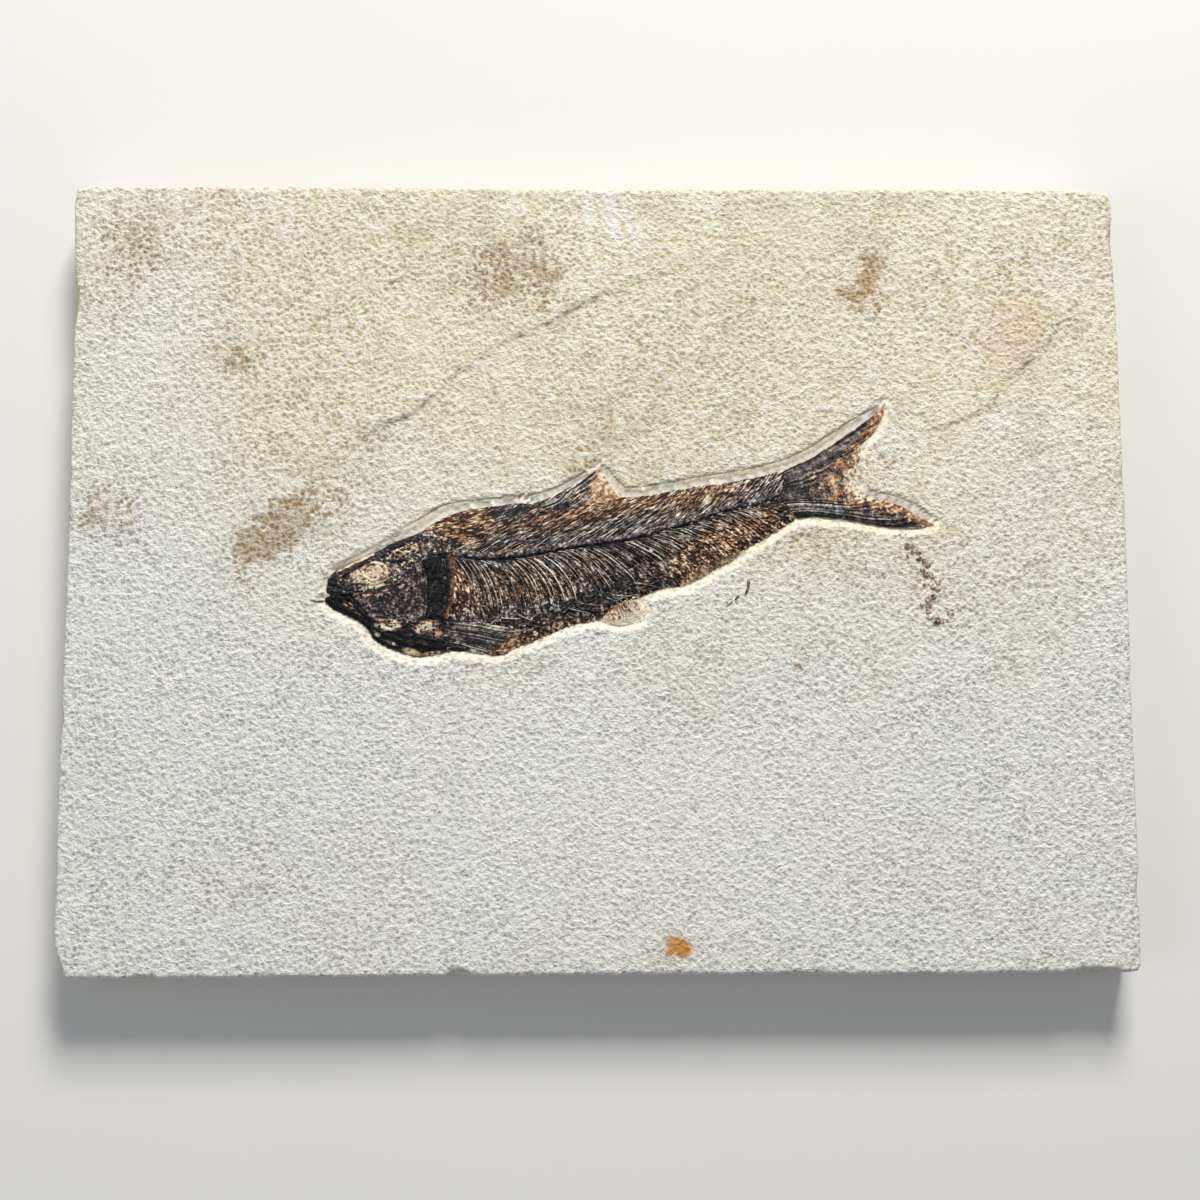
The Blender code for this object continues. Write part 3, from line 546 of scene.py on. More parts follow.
def build_grain_group() -> bpy.types.NodeTree:
    """Group "grain": pits between rounded cells with finer noise on them, as a height and two masks.

    The masks are where that height is low and where it is high.
    """
    tree, nodes, given, result = new_group(
        "grain", {"Per mm": 1.0, "Cells": 0.5}, ["Height", "Hollows", "Tops"])
    scale = nodes.times(given["Per mm"], 1.0 / MM)
    pits = nodes.add("TexVoronoi", {"Vector": given["Place"], "Scale": scale}, feature="F1")
    fine = nodes.add("TexNoise", {"Vector": given["Place"], "Scale": nodes.times(scale, 1.35),
                                  "Detail": 5.0, "Roughness": 0.62})
    ridges = nodes.times(nodes.minus(pits.outputs["Distance"], 0.476), given["Cells"])
    height = nodes.plus(fine.outputs["Fac"], ridges)
    nodes.feed(result["Height"], height)
    nodes.feed(result["Hollows"], nodes.span(height, 0.28, 0.54, 1.0, 0.0))
    nodes.feed(result["Tops"], nodes.span(height, 0.48, 0.70))
    return tree


def build_fossil_colour_group() -> bpy.types.NodeTree:
    """Group "fossil colour": the colour for a tone, shifted in flecks, and a mask of the flecks."""
    tree, nodes, given, result = new_group(
        "fossil colour", {"Tone": 0.3, "Grey": 0.3, "Bare": 0.0, "Fleck": 0.2, "Cloud": 0.1},
        ["Color", "Spots"])
    fine = nodes.noise(given["Place"], 1.5, 4.0, 0.7)
    broad = nodes.noise(given["Place"], 0.6)
    other = nodes.noise(given["Place"], 1.1, 3.0, 0.6)
    shift = nodes.plus(nodes.times(nodes.minus(fine, 0.5), given["Fleck"]),
                       nodes.times(nodes.minus(broad, 0.5), given["Cloud"]))
    tone = nodes.plus(given["Tone"], nodes.times(shift, 2.0), True)
    browns = nodes.ramp(tone, (0.0, 10, 8, 7), (0.14, 36, 20, 14), (0.28, 92, 56, 37), (0.44, 142, 100, 72),
                        (0.60, 188, 153, 116), (0.78, 228, 204, 164), (0.95, 250, 243, 226))
    greys = nodes.ramp(tone, (0.0, 6, 7, 9), (0.14, 20, 20, 23), (0.32, 70, 64, 64), (0.52, 122, 115, 112),
                       (0.72, 184, 176, 164), (0.95, 240, 234, 220))
    grey = nodes.span(nodes.plus(given["Grey"], nodes.times(nodes.minus(other, 0.5), 1.6)), 0.2, 0.8)
    stone = nodes.mix(nodes.span(broad, 0.40, 0.62), paint(240, 233, 212), paint(212, 200, 172))
    bare = nodes.span(nodes.plus(given["Bare"], shift), 0.25, 0.75)
    nodes.feed(result["Color"], nodes.mix(bare, nodes.mix(grey, browns, greys), stone))
    nodes.feed(result["Spots"], nodes.span(fine, 0.5, 0.7))
    return tree


@dataclass(frozen=True)
class Groups:
    """The node groups that the finishes share."""

    speckle: bpy.types.NodeTree
    grain: bpy.types.NodeTree
    colours: bpy.types.NodeTree


@dataclass(frozen=True)
class LimestoneFinish:
    """The slab's stone: cream above, cool white below, grained, stained, and scraped round the fish."""

    name: str = "split_limestone"
    cream: Colour = paint(241, 232, 204)
    white: Colour = paint(233, 234, 230)
    # The hollow colours: painted shade where the grain is low, and also the stone's own darker specks.
    cream_hollow: Colour = paint(192, 177, 142)
    white_hollow: Colour = paint(168, 168, 164)
    # The top colour: painted highlight where the grain is high, and also the stone's own pale specks.
    top: Colour = paint(252, 249, 240)
    stain: Colour = paint(164, 136, 98)
    rust: Colour = paint(206, 138, 52)
    peach: Colour = paint(228, 190, 148)
    # Colour of the chalky blooms, and of the painted highlight along the fish's toe.
    chalk_and_highlight: Colour = paint(246, 244, 240)
    scraped: Colour = paint(253, 242, 214)
    # Colour of painted shade, laid by the crest mask.
    crest: Colour = paint(104, 84, 58)
    bed_dark: Colour = paint(176, 158, 126)
    bed_pale: Colour = paint(228, 218, 194)
    bed_scale: tuple[float, float, float] = (0.06, 0.06, 1.0)  # noise drawn out flat makes the beds
    roughness: float = 0.88
    specular: float = 0.25
    relief: float = 0.00086

    def build(self, groups: Groups) -> bpy.types.Material:
        """The material.

        Attribute "masks" holds the warmth of the ground, the scraped stone, the sides and the crest mask of
        painted shade;
        attribute "stains" holds brown stains, rust, chalky blooms with a painted highlight along the fish's
        toe, and peach.
        """
        material, nodes, shader = new_material(self.name)
        share, place = nodes.share, nodes.place()
        (warmth, scraped, side), crest = nodes.attribute("masks")
        (brown, rust, chalk_and_highlight), peach = nodes.attribute("stains")
        coarse = nodes.group(groups.grain, Place=place, Per_mm=0.90, Cells=0.482).outputs
        fine = nodes.group(groups.grain, Place=place, Per_mm=1.9, Cells=0.351).outputs

        def spots(amount: object, gain: float, base: float, per_mm: float, softness: float) -> object:
            """The speckle mask for an amount."""
            total = nodes.plus(nodes.times(amount, gain), base)
            return nodes.group(groups.speckle, Place=place, Amount=total, Per_mm=per_mm,
                               Softness=softness).outputs["Mask"]

        drift = nodes.times(nodes.minus(nodes.noise(place, 0.05, 4.0), 0.5), 0.9)
        warm = nodes.plus(warmth, drift, True)
        colour = nodes.mix(warm, self.white, self.cream)
        hollow = nodes.mix(warm, self.white_hollow, self.cream_hollow)
        rough = nodes.span(nodes.noise(place, 0.14), 0.36, 0.62, 0.45, 1.0)
        # Where the grain is low its hollow colour is painted shade, and where it is high the top colour is
        # painted highlight; the speckle spots are the stone's own.
        for mask, over in (
            (share(0.85, coarse["Hollows"], rough), hollow),
            (share(0.85, coarse["Tops"], rough), self.top),
            (share(0.45, fine["Hollows"], rough), hollow),
            (share(0.50, fine["Tops"]), self.top),
            (share(0.42, spots(warm, 0.20, 0.36, 0.50, 0.16)), hollow),
            (share(0.40, spots(warm, 0.35, 0.30, 0.16, 0.20)), hollow),
            (share(0.60, spots(warm, -0.05, 0.42, 1.8, 0.06)), self.top),
            (share(0.4, peach), self.peach),
            (share(0.50, spots(brown, 0.80, 0.02, 0.85, 0.07)), self.stain),
            (share(0.10, brown), self.stain),
            (share(1.20, coarse["Hollows"], brown), self.stain),
            (share(0.9, spots(rust, 0.80, 0.26, 0.5, 0.16), rust), self.rust),
            (share(0.25, rust), self.rust),
        ):
            colour = nodes.mix(mask, colour, over)

        flat = nodes.add("Mapping", {"Vector": place, "Scale": self.bed_scale}).outputs["Vector"]
        beds = nodes.span(nodes.noise(flat, 0.9, 5.0, 0.65), 0.35, 0.65)
        # The scraped wall darkens in the grain's hollows: painted shade.
        cut = nodes.mix(share(0.5, coarse["Hollows"]), self.scraped, self.cream_hollow)
        # The crest mask is painted shade; noise breaks up its edge.
        ragged = nodes.plus(crest, nodes.minus(nodes.noise(place, 1.3), 0.5))
        for mask, over in (
            (share(0.8, side), nodes.mix(beds, self.bed_dark, self.bed_pale)),
            (share(0.85, scraped), cut),
            # The chalky blooms, with the painted highlight along the fish's toe.
            (share(0.85, chalk_and_highlight), self.chalk_and_highlight),
            (share(0.55, nodes.span(ragged, 0.28, 0.56)), self.crest),
            (share(0.35, crest), self.crest),
        ):
            colour = nodes.mix(mask, colour, over)
        nodes.feed(shader["Base Color"], colour)
        nodes.feed(shader["Roughness"], nodes.minus(self.roughness, share(0.12, scraped)))
        height = nodes.plus(coarse["Height"], share(0.32, fine["Height"]))
        height = nodes.times(height, nodes.minus(1.0, share(0.85, scraped)))
        bump = nodes.add("Bump", {"Distance": self.relief, "Height": height})
        nodes.feed(shader["Normal"], bump.outputs["Normal"])
        shader["Specular IOR Level"].default_value = self.specular
        return material


@dataclass(frozen=True)
class FossilFinish:
    """Fossil bone, scale or fin: two runs of colour, brown to cream and black to grey, mixed in flecks.

    Attribute "masks" holds the tone from black to cream, the share of the grey run, the gloss and the
    share of bare stone.
    """

    name: str
    tint: Colour = (1.0, 1.0, 1.0)
    fleck: float = 1.3  # how far fine flecks shift the tone
    cloud: float = 0.6  # how far broader ones do
    rough_dull: float = 0.80
    rough_glossy: float = 0.26
    grain_per_mm: float = 2.2
    relief: float = 0.00022
    specular: float = 0.30
    flows: bool = False  # the flecks follow attribute "flow" instead of the object's own places

    def build(self, groups: Groups) -> bpy.types.Material:
        """The material."""
        material, nodes, shader = new_material(self.name)
        place = flow = nodes.place()
        (tone, grey, gloss), bare = nodes.attribute("masks")
        if self.flows:
            flow = nodes.add("Attribute", attribute_name="flow").outputs["Vector"]
        look = nodes.group(groups.colours, Place=flow, Tone=tone, Grey=grey, Bare=bare, Fleck=self.fleck,
                           Cloud=self.cloud).outputs
        nodes.feed(shader["Base Color"], nodes.mix(1.0, look["Color"], self.tint, "MULTIPLY"))
        shine = nodes.minus(gloss, nodes.times(look["Spots"], 0.3), True)
        nodes.feed(shader["Roughness"], nodes.span(shine, 0.0, 1.0, self.rough_dull, self.rough_glossy))
        grain = nodes.group(groups.grain, Place=place, Per_mm=self.grain_per_mm, Cells=0.44)
        bump = nodes.add("Bump", {"Distance": self.relief, "Height": grain.outputs["Height"]})
        nodes.feed(shader["Normal"], bump.outputs["Normal"])
        shader["Specular IOR Level"].default_value = self.specular
        return material


# --- The fish's lines ----------------------------------------------------------------------------

# The outline's own lines run from the snout towards the tail. A point is (x, y, width of the recess's
# wall beside it).
SNOUT = [(-56.1, -3.2, 1.0), (-56.0, -4.2, 1.0), (-55.3, -4.9, 1.0)]
SKULL_TOP = [
    (-56.1, -3.2, 1.0), (-55.9, -1.4, 1.0), (-55.0, -0.2, 1.1), (-53.2, 0.8, 1.3), (-50.0, 2.1, 1.4),
    (-46.0, 4.2, 1.5), (-42.8, 6.0, 1.5), (-40.8, 6.8, 2.1), (-37.4, 8.0, 2.8), (-35.8, 9.0, 2.6),
]
BACK_BEFORE_FIN = [
    (-35.8, 9.0, 2.6), (-32.8, 11.0, 2.6), (-30.8, 12.0, 2.5), (-28.0, 12.8, 2.2), (-25.2, 13.3, 2.0),
    (-20.0, 14.0, 1.7), (-16.8, 14.4, 1.9), (-13.6, 14.3, 2.0),
]
FIN_FRONT = [
    (-13.6, 14.3, 2.0), (-10.0, 15.6, 1.7), (-7.6, 16.8, 1.5), (-5.2, 18.2, 1.4), (-2.7, 19.7, 1.3),
    (-0.9, 21.1, 1.1), (0.0, 21.6, 1.2),
]
FIN_REAR = [(0.0, 21.6, 1.2), (1.2, 20.2, 1.9), (2.7, 18.0, 2.1), (4.2, 16.4, 2.0), (5.5, 15.7, 2.1)]
BACK_AFTER_FIN = [
    (5.5, 15.7, 2.1), (10.0, 15.9, 2.2), (14.2, 16.8, 2.0), (20.3, 17.9, 2.1), (26.4, 18.6, 2.3),
    (32.4, 19.7, 2.3), (38.0, 21.1, 2.3), (39.6, 21.6, 2.3),
]
UPPER_LOBE = [
    (39.6, 21.6, 2.3), (44.8, 24.0, 2.3), (49.9, 27.4, 2.2), (54.8, 30.8, 2.1), (59.0, 33.9, 1.3),
    (60.4, 35.5, 0.8),
]
FORK = [
    (60.4, 35.5, 0.8), (59.8, 32.8, 1.1), (58.2, 29.8, 1.2), (56.4, 28.2, 1.3), (55.0, 26.6, 2.0),
    (54.8, 24.0, 3.0), (53.8, 21.4, 4.0), (53.4, 19.4, 4.0), (54.4, 17.6, 2.6), (55.8, 16.0, 1.4),
    (59.0, 15.0, 1.7), (61.2, 14.5, 1.7), (65.1, 12.9, 1.8), (68.3, 10.8, 1.5), (70.3, 9.7, 0.8),
]
LOWER_LOBE = [
    (41.4, 11.2, 1.3), (45.4, 11.5, 1.4), (50.6, 11.0, 1.3), (55.7, 10.2, 1.2), (60.3, 9.2, 1.2),
    (65.1, 9.0, 1.1), (68.0, 9.2, 1.0), (70.3, 9.7, 0.8),
]
BELLY_REAR = [(30.4, 4.5, 1.3), (34.5, 6.8, 1.2), (39.0, 9.5, 1.2), (41.4, 11.2, 1.3)]
ANAL_EDGE = [
    (16.8, -3.2, 1.4), (19.1, -2.6, 1.4), (22.7, -0.6, 1.4), (24.4, 0.6, 1.4), (26.4, 1.3, 1.4),
    (28.6, 2.7, 1.3), (30.4, 4.5, 1.3),
]
BELLY_MIDDLE = [(8.6, -5.4, 1.2), (11.2, -4.2, 1.5), (13.6, -3.5, 1.4), (16.8, -3.2, 1.4)]
PELVIC_EDGE = [
    (0.2, -10.1, 1.1), (2.1, -10.9, 0.9), (4.5, -11.3, 0.8), (7.0, -10.9, 0.8), (9.2, -10.2, 0.8),
    (9.9, -8.0, 0.9), (8.6, -5.4, 1.2),
]
BELLY_FRONT = [
    (-17.2, -15.8, 1.2), (-12.8, -14.2, 1.2), (-8.2, -12.1, 1.1), (-4.5, -10.8, 1.1), (0.2, -10.1, 1.1),
]
PECTORAL_EDGE = [
    (-31.2, -16.6, 1.3), (-28.8, -16.4, 1.2), (-24.0, -16.9, 1.2), (-21.6, -17.4, 1.1), (-19.4, -17.2, 1.1),
    (-17.2, -15.8, 1.2),
]
THROAT_EDGE = [
    (-47.4, -12.0, 1.6), (-46.6, -13.6, 1.6), (-45.2, -14.7, 1.6), (-43.2, -15.8, 1.5), (-40.8, -16.6, 1.5),
    (-37.6, -17.6, 1.5), (-34.4, -17.3, 1.4), (-31.2, -16.6, 1.3),
]
JAW_EDGE = [
    (-56.5, -6.0, 1.0), (-54.8, -7.6, 1.2), (-52.8, -8.6, 1.3), (-50.8, -9.6, 1.4), (-48.8, -10.6, 1.5),
    (-47.4, -12.0, 1.6),
]
CHIN = [(-55.3, -4.9, 1.0), (-56.3, -5.3, 1.0), (-56.5, -6.0, 1.0)]
FISH = Loop(joined(
    SKULL_TOP, BACK_BEFORE_FIN, FIN_FRONT, FIN_REAR, BACK_AFTER_FIN, UPPER_LOBE, FORK, home(LOWER_LOBE),
    home(BELLY_REAR), home(ANAL_EDGE), home(BELLY_MIDDLE), home(PELVIC_EDGE), home(BELLY_FRONT),
    home(PECTORAL_EDGE), home(THROAT_EDGE), home(JAW_EDGE), home(CHIN), home(SNOUT),
)[:-1])

# The lines between its bones and fins.
TAIL_ROOT = [(39.6, 21.6), (38.6, 18.6), (37.8, 15.6), (39.4, 13.2), (41.4, 11.2)]
ANAL_ROOT = [(16.8, -3.2), (17.6, -1.3), (20.4, 0.8), (24.0, 2.2), (27.6, 3.5), (30.4, 4.5)]
PELVIC_ROOT = [(0.2, -10.1), (1.6, -8.6), (3.4, -7.0), (5.6, -6.0), (8.6, -5.4)]
FIN_BASE = [(-13.6, 14.3), (-12.4, 12.7), (-9.0, 12.4), (-5.0, 13.2), (0.0, 14.4), (5.5, 15.7)]
PECTORAL_TOP = [(-31.2, -9.9), (-28.0, -10.2), (-24.0, -10.6), (-20.0, -11.3), (-16.2, -12.3)]
PECTORAL_REAR = [(-16.2, -12.3), (-16.4, -14.0), (-17.2, -15.8)]
PECTORAL_ROOT = [(-31.2, -9.9), (-32.0, -13.4), (-31.2, -16.6)]
NAPE = [(-35.8, 9.0), (-33.0, 8.0), (-30.8, 6.6), (-30.0, 4.3)]
SHOULDER_TOP = [(-36.4, 1.8), (-35.4, 3.4), (-32.5, 3.8), (-30.0, 4.3)]
SHOULDER_REAR = [(-30.0, 4.3), (-29.6, 0.0), (-29.8, -4.6), (-31.2, -9.9)]
SHOULDER_FRONT = [(-36.4, 1.8), (-35.5, -1.0), (-35.4, -6.0), (-35.8, -9.9)]
SHOULDER_FOOT = [(-35.8, -9.9), (-31.2, -9.9)]
CHEEK_TOP = [(-51.2, -4.6), (-45.0, -3.2), (-41.2, -2.4), (-38.6, 0.8), (-36.4, 1.8)]
CHEEK_FOOT = [(-46.6, -10.3), (-42.0, -10.8), (-38.0, -10.6), (-35.8, -9.9)]
JAW_TOP = [(-55.3, -4.9), (-54.0, -4.8), (-51.2, -4.6)]
JAW_REAR = [(-51.2, -4.6), (-49.6, -6.4), (-47.8, -8.4), (-46.6, -10.3), (-47.4, -12.0)]
SPINE = [
    (-34.0, 3.4), (-30.0, 2.9), (-24.0, 2.2), (-20.0, 2.3), (-16.0, 2.8), (-12.0, 3.4), (-8.0, 4.2),
    (-4.0, 4.8), (0.0, 5.3), (5.0, 6.0), (10.0, 7.0), (13.0, 7.9), (17.0, 9.0), (20.0, 9.8),
    (23.3, 11.1), (26.4, 12.2), (30.0, 12.9), (34.5, 13.8), (36.4, 14.6), (39.0, 15.9),
]
EYE = (-46.3, 0.1, 2.6, 1.9)  # its middle and its half sizes


# --- The slab ------------------------------------------------------------------------------------

# Its outline, as the four edges of a face-on view. They share their end points, the corners.
LOWER_EDGE = [
    (-107.6, -82.2), (-106.0, -82.4), (-54.4, -82.3), (-40.3, -82.2), (-8.1, -82.2), (40.4, -82.3),
    (50.5, -82.4), (72.9, -82.4), (83.0, -82.2), (107.3, -82.3), (109.3, -81.9),
]
RIGHT_EDGE = [
    (109.3, -81.9), (110.0, -80.8), (110.1, -71.8), (110.3, -57.7), (110.1, -27.0), (110.3, -10.4),
    (110.2, 0.1), (110.3, 14.9), (110.0, 36.2), (110.0, 49.1), (109.8, 61.5), (109.7, 66.5),
    (109.8, 73.3), (109.7, 79.6), (109.2, 81.0),
]
UPPER_EDGE = [
    (-109.7, 81.6), (-108.4, 82.3), (-61.5, 82.4), (-12.9, 82.2), (27.6, 82.2), (45.5, 82.0),
    (65.2, 82.3), (93.0, 82.2), (104.1, 82.1), (108.4, 81.6), (109.2, 81.0),
]
LEFT_EDGE = [
    (-107.6, -82.2), (-108.9, -78.6), (-109.8, -75.7), (-110.0, -73.6), (-109.9, -64.6), (-110.1, -50.6),
    (-109.6, -5.7), (-109.5, 10.9), (-109.6, 31.9), (-109.5, 54.4), (-109.6, 61.8), (-109.9, 68.3),
    (-110.2, 79.1), (-109.7, 81.6),
]

# Steps in the face: each line's upper left side stands higher. A point is (x, y, height of the step).
LONG_STEP = [
    (-72.0, 8.0, 0.04), (-60.7, 16.6, 0.12), (-53.6, 25.1, 0.22), (-46.4, 29.4, 0.34), (-40.0, 32.6, 0.48),
    (-35.0, 36.6, 0.52), (-29.3, 42.3, 0.36), (-20.7, 48.0, 0.36), (-15.0, 51.1, 0.44), (-6.4, 55.4, 0.5),
    (-0.7, 57.7, 0.4), (6.4, 61.3, 0.26), (13.6, 63.7, 0.2), (19.3, 65.9, 0.1), (28.0, 67.6, 0.0),
]
SHORT_STEP = [
    (66.0, 27.6, 0.0), (73.6, 30.9, 0.36), (78.6, 33.0, 0.42), (82.9, 35.1, 0.46), (86.4, 40.9, 0.4),
    (90.7, 44.4, 0.42), (96.4, 50.9, 0.3), (99.3, 54.4, 0.2), (102.0, 58.0, 0.0),
]

# Chips out of the edges and pits in the face: (x, y, half length, half width, depth).
CHIPS = [
    (-28.5, -82.6, 2.8, 1.5, 1.5), (-9.0, -82.6, 1.5, 0.6, 0.7), (15.0, -82.7, 1.7, 0.8, 0.8),
    (39.0, -82.6, 3.8, 1.0, 1.0), (44.6, -82.6, 1.2, 0.8, 0.8), (-92.0, -82.5, 2.2, 0.8, 0.9),
    (-62.0, -82.6, 1.8, 0.6, 0.6), (66.0, -82.6, 2.4, 0.6, 0.7), (101.0, -82.8, 7.0, 1.6, 1.2),
    (-109.9, 57.0, 1.3, 5.0, 1.4), (110.1, 71.0, 1.4, 4.6, 1.3), (110.3, -66.0, 1.0, 3.6, 1.0),
    (-110.0, -30.0, 0.8, 3.0, 0.8), (-109.8, 20.0, 0.7, 2.6, 0.7), (110.2, 20.0, 0.7, 3.0, 0.8),
    (19.0, -49.0, 1.0, 0.8, 0.35), (15.7, -52.7, 1.2, 0.8, 0.3), (12.0, -52.0, 0.9, 0.7, 0.28),
    (22.6, -47.2, 0.8, 0.5, 0.2), (43.6, 26.6, 1.2, 0.8, 0.2), (84.0, 33.4, 1.0, 0.6, 0.25),
]

# Ovals of stain, as oval() takes them.
BROWN_STAINS = [
    (-18, 63, 13, 9, 20, 0.75), (-101, 12, 8, 8, 0, 0.55), (-63, 11, 13, 6, 28, 0.8), (-70, 5, 7, 4, 30, 0.5),
    (56.4, 60.9, 4.6, 7, -20, 0.95), (-3, 23, 5, 2.4, 35, 0.6), (-86, 74, 22, 8, 0, 0.30),
    (-97, 67, 7, 8, 0, 0.36), (-75, 46, 2.6, 2, 0, 0.4), (-60, 58, 30, 16, 25, 0.28),
    (20, 45, 34, 18, 20, 0.2), (-75, 44, 5, 3, 0, 0.35), (41, 7.5, 5, 2.2, 20, 0.6),
    (62, 7, 2.4, 1.4, 0, 0.5),
    (-15, -18.7, 4, 1.5, 20, 0.4), (88, 60, 24, 14, 10, 0.3), (80, -4, 20, 12, 0, 0.2),
    (-72, -62, 14, 8, 0, 0.2), (52, 0, 16, 10, 0, 0.22), (-27, -19.2, 2.4, 1.0, 0, 0.5),
    (44, 27, 2.2, 1.6, 0, 0.6), (-101, 60, 9, 14, 0, 0.25), (18, -24, 14, 8, 0, 0.2),
    (-60, 30, 24, 14, 25, 0.25),
]
DARK_SPOTS = [
    (-97, 10, 0.7, 0.6), (-75, 46.6, 1.1, 0.9), (-55.7, 63.4, 0.7, 0.7), (-42.9, 61.6, 0.6, 0.5),
    (32.9, 56.9, 0.6, 0.6), (30.4, 48.3, 0.5, 0.5), (41, -19.9, 0.9, 0.7), (-80.7, -45.6, 0.9, 0.7, 0, 0.6),
    (15.5, -52.8, 1.4, 0.7, 10, 0.6), (19, -49, 1.0, 0.7, 0, 0.7), (57, 62, 1.4, 1.6, 0, 0.5),
]
RUST_STAINS = [
    (15.3, -76.3, 3.0, 2.7), (17.4, -77.4, 2.0, 1.6, -30, 0.7), (13.8, -78.6, 1.2, 1.2, 0, 0.5),
    (57.0, 60.0, 3.6, 5.6, -20, 0.42), (-45.0, -16.8, 1.4, 0.6, -20, 0.4), (-37.0, -21.5, 0.7, 0.6, 0, 0.4),
]
CHALK_BLOOMS = [
    (3, 77, 1.3, 8, 10, 0.9), (-2, 78, 1.0, 6, 0, 0.8), (7, 74, 0.9, 6, 15, 0.7), (98, 62, 8, 6, 0, 0.3),
    (84, 32.5, 4, 1.6, 20, 0.5), (-92, 40, 12, 20, 0, 0.25), (0, -50, 60, 24, 0, 0.3),
]
PEACH_TINTS = [(88, 50, 7, 12, -30, 0.9), (70, 8, 6, 3, 0, 0.35), (30, 66, 30, 9, 5, 0.3)]


@dataclass
class Slab:
    """The stone: its face with the recess, its four broken sides and its back, as one closed surface."""

    columns: int = 337
    rows: int = 237
    back_share: int = 4  # the back's grid has one cell to this many of the face's
    half_size: tuple[float, float] = (110.0, 82.0)
    fish_x: tuple[float, float] = (-59.0, 73.0)  # where the grid is closer
    fish_y: tuple[float, float] = (-20.0, 37.0)
    arris: float = 0.7  # radius of the edges
    highest: float = 0.8  # what a rise in the face may reach
    snap_reach: float = 0.34
    side_levels: tuple[float, ...] = (0.9, 2.0, 3.2, 4.5, 5.8, 7.1, 8.4, 9.6, 10.6)
    side_step: float = 0.68  # mean gap between the rim's points
    back_inset: float = 0.95

    def build(self, material: bpy.types.Material) -> bpy.types.Object:
        """Make the piece, which stands for the CAD node "slab".

        The face comes first, then the rings of the sides from the top down, and then the back.
        """
        grid = self.snapped(self.face_grid())
        x, y = grid[..., 0], grid[..., 1]
        z, masks, stains = self.face(x, y)
        index = np.arange(x.size).reshape(x.shape)
        upper = rim = rim_of(index)
        points, quads = [np.stack([x, y, z], axis=-1).reshape(-1, 3)], [grid_faces(index)]
        mask_rows, stain_rows = [masks.reshape(-1, 4)], [stains.reshape(-1, 4)]
        edge, start = points[0][rim], x.size
        way = self.way_out(edge)
        for level in self.side_levels[::-1]:
            points.append(self.side_ring(edge, way, level))
            mask_rows.append(np.tile([0.3, 0.0, 1.0, 0.0], (len(rim), 1)))
            lower = start + np.arange(len(rim))
            quads.append(ring_faces(lower, upper))
            upper, start = lower, start + len(rim)
        back, index = self.back(edge, way, x.shape, start)
        points.append(back)
        mask_rows.append(np.tile([0.45, 0.0, 0.0, 0.0], (len(back), 1)))
        quads.append(grid_faces(index)[:, ::-1])
        stain_rows += [self.side_stains(part) for part in points[1:]]
        shell = Shell()
        shell.add(np.concatenate(points), np.concatenate(quads), self.stitches(rim_of(index), upper),
                  np.concatenate(mask_rows))
        piece = shell.to_object("limestone_slab", "slab", material)
        write(piece.data, "stains", "FLOAT_COLOR", np.concatenate(stain_rows))
        return piece

    def face_grid(self) -> Array:
        """The grid of places over the face, closer round the fish and along the edges."""
        def fractions(half: float, fish: tuple[float, float], count: int) -> Array:
            """The fractions for one direction."""
            def density(place: Array) -> Array:
                """How close the lines lie at a place."""
                near_fish = smoothstep(fish[0] - 4, fish[0], place) * fall(fish[1], fish[1] + 4, place)
                edge = np.exp(-(place + half) / 0.8) + np.exp(-(half - place) / 0.8)
                return 1.0 + 0.42 * near_fish + 1.6 * edge
            return graded(-half, half, count, density)

        u = fractions(self.half_size[0], self.fish_x, self.columns)
        v = fractions(self.half_size[1], self.fish_y, self.rows)
        return between((LOWER_EDGE, RIGHT_EDGE, UPPER_EDGE, LEFT_EDGE), u, v)

    @staticmethod
    def round_fish(x: Array, y: Array) -> tuple[Array, Array, Array]:
        """Distance from the fish, the way from it, and how far the recess's wall reaches beyond the toe."""
        distance, way, width = FISH.nearest(x, y)
        short = 0.45 + 0.42 * smoothstep(-0.2, 0.5, way[..., 1])
        return distance, way, np.maximum(width - short, 0.3)

    def snapped(self, grid: Array) -> Array:
        """The grid with the points nearest to the recess's toe and crest moved onto those lines."""
        for _ in range(2):
            distance, way, wall = self.round_fish(grid[..., 0], grid[..., 1])
            for line in (TOE_WIDTH, TOE_WIDTH + wall):
                short = line - distance
                grid = grid + np.where(np.abs(short) < self.snap_reach, short, 0.0)[..., None] * way
        return grid

    def face(self, x: Array, y: Array) -> tuple[Array, Array, Array]:
        """Height, masks and stains over the face. The masks' last channel is painted shade, and the stains'
        third channel also holds a painted highlight along the fish's toe.

        The height is the stone's own one beyond the crest. It falls along the wall of the recess as
        1 - (1 - t)^1.5 over the way t from toe to crest.
        """
        distance, way, wall = self.round_fish(x, y)
        open_fork = smoothstep(1.8, 2.6, wall)
        wall = wall * (1 + 0.20 * layered(x / 2.6, y / 2.6, 61))
        past_toe = distance - TOE_WIDTH
        cut = np.clip(past_toe / wall, 0.0, 1.0)
        scraped = fall(0.0, 0.5, past_toe - wall + 0.15 * noise(x, y, 62))
        faces_up = smoothstep(-0.2, 0.5, way[..., 1])
        head = fall(-44.0, -36.0, x)
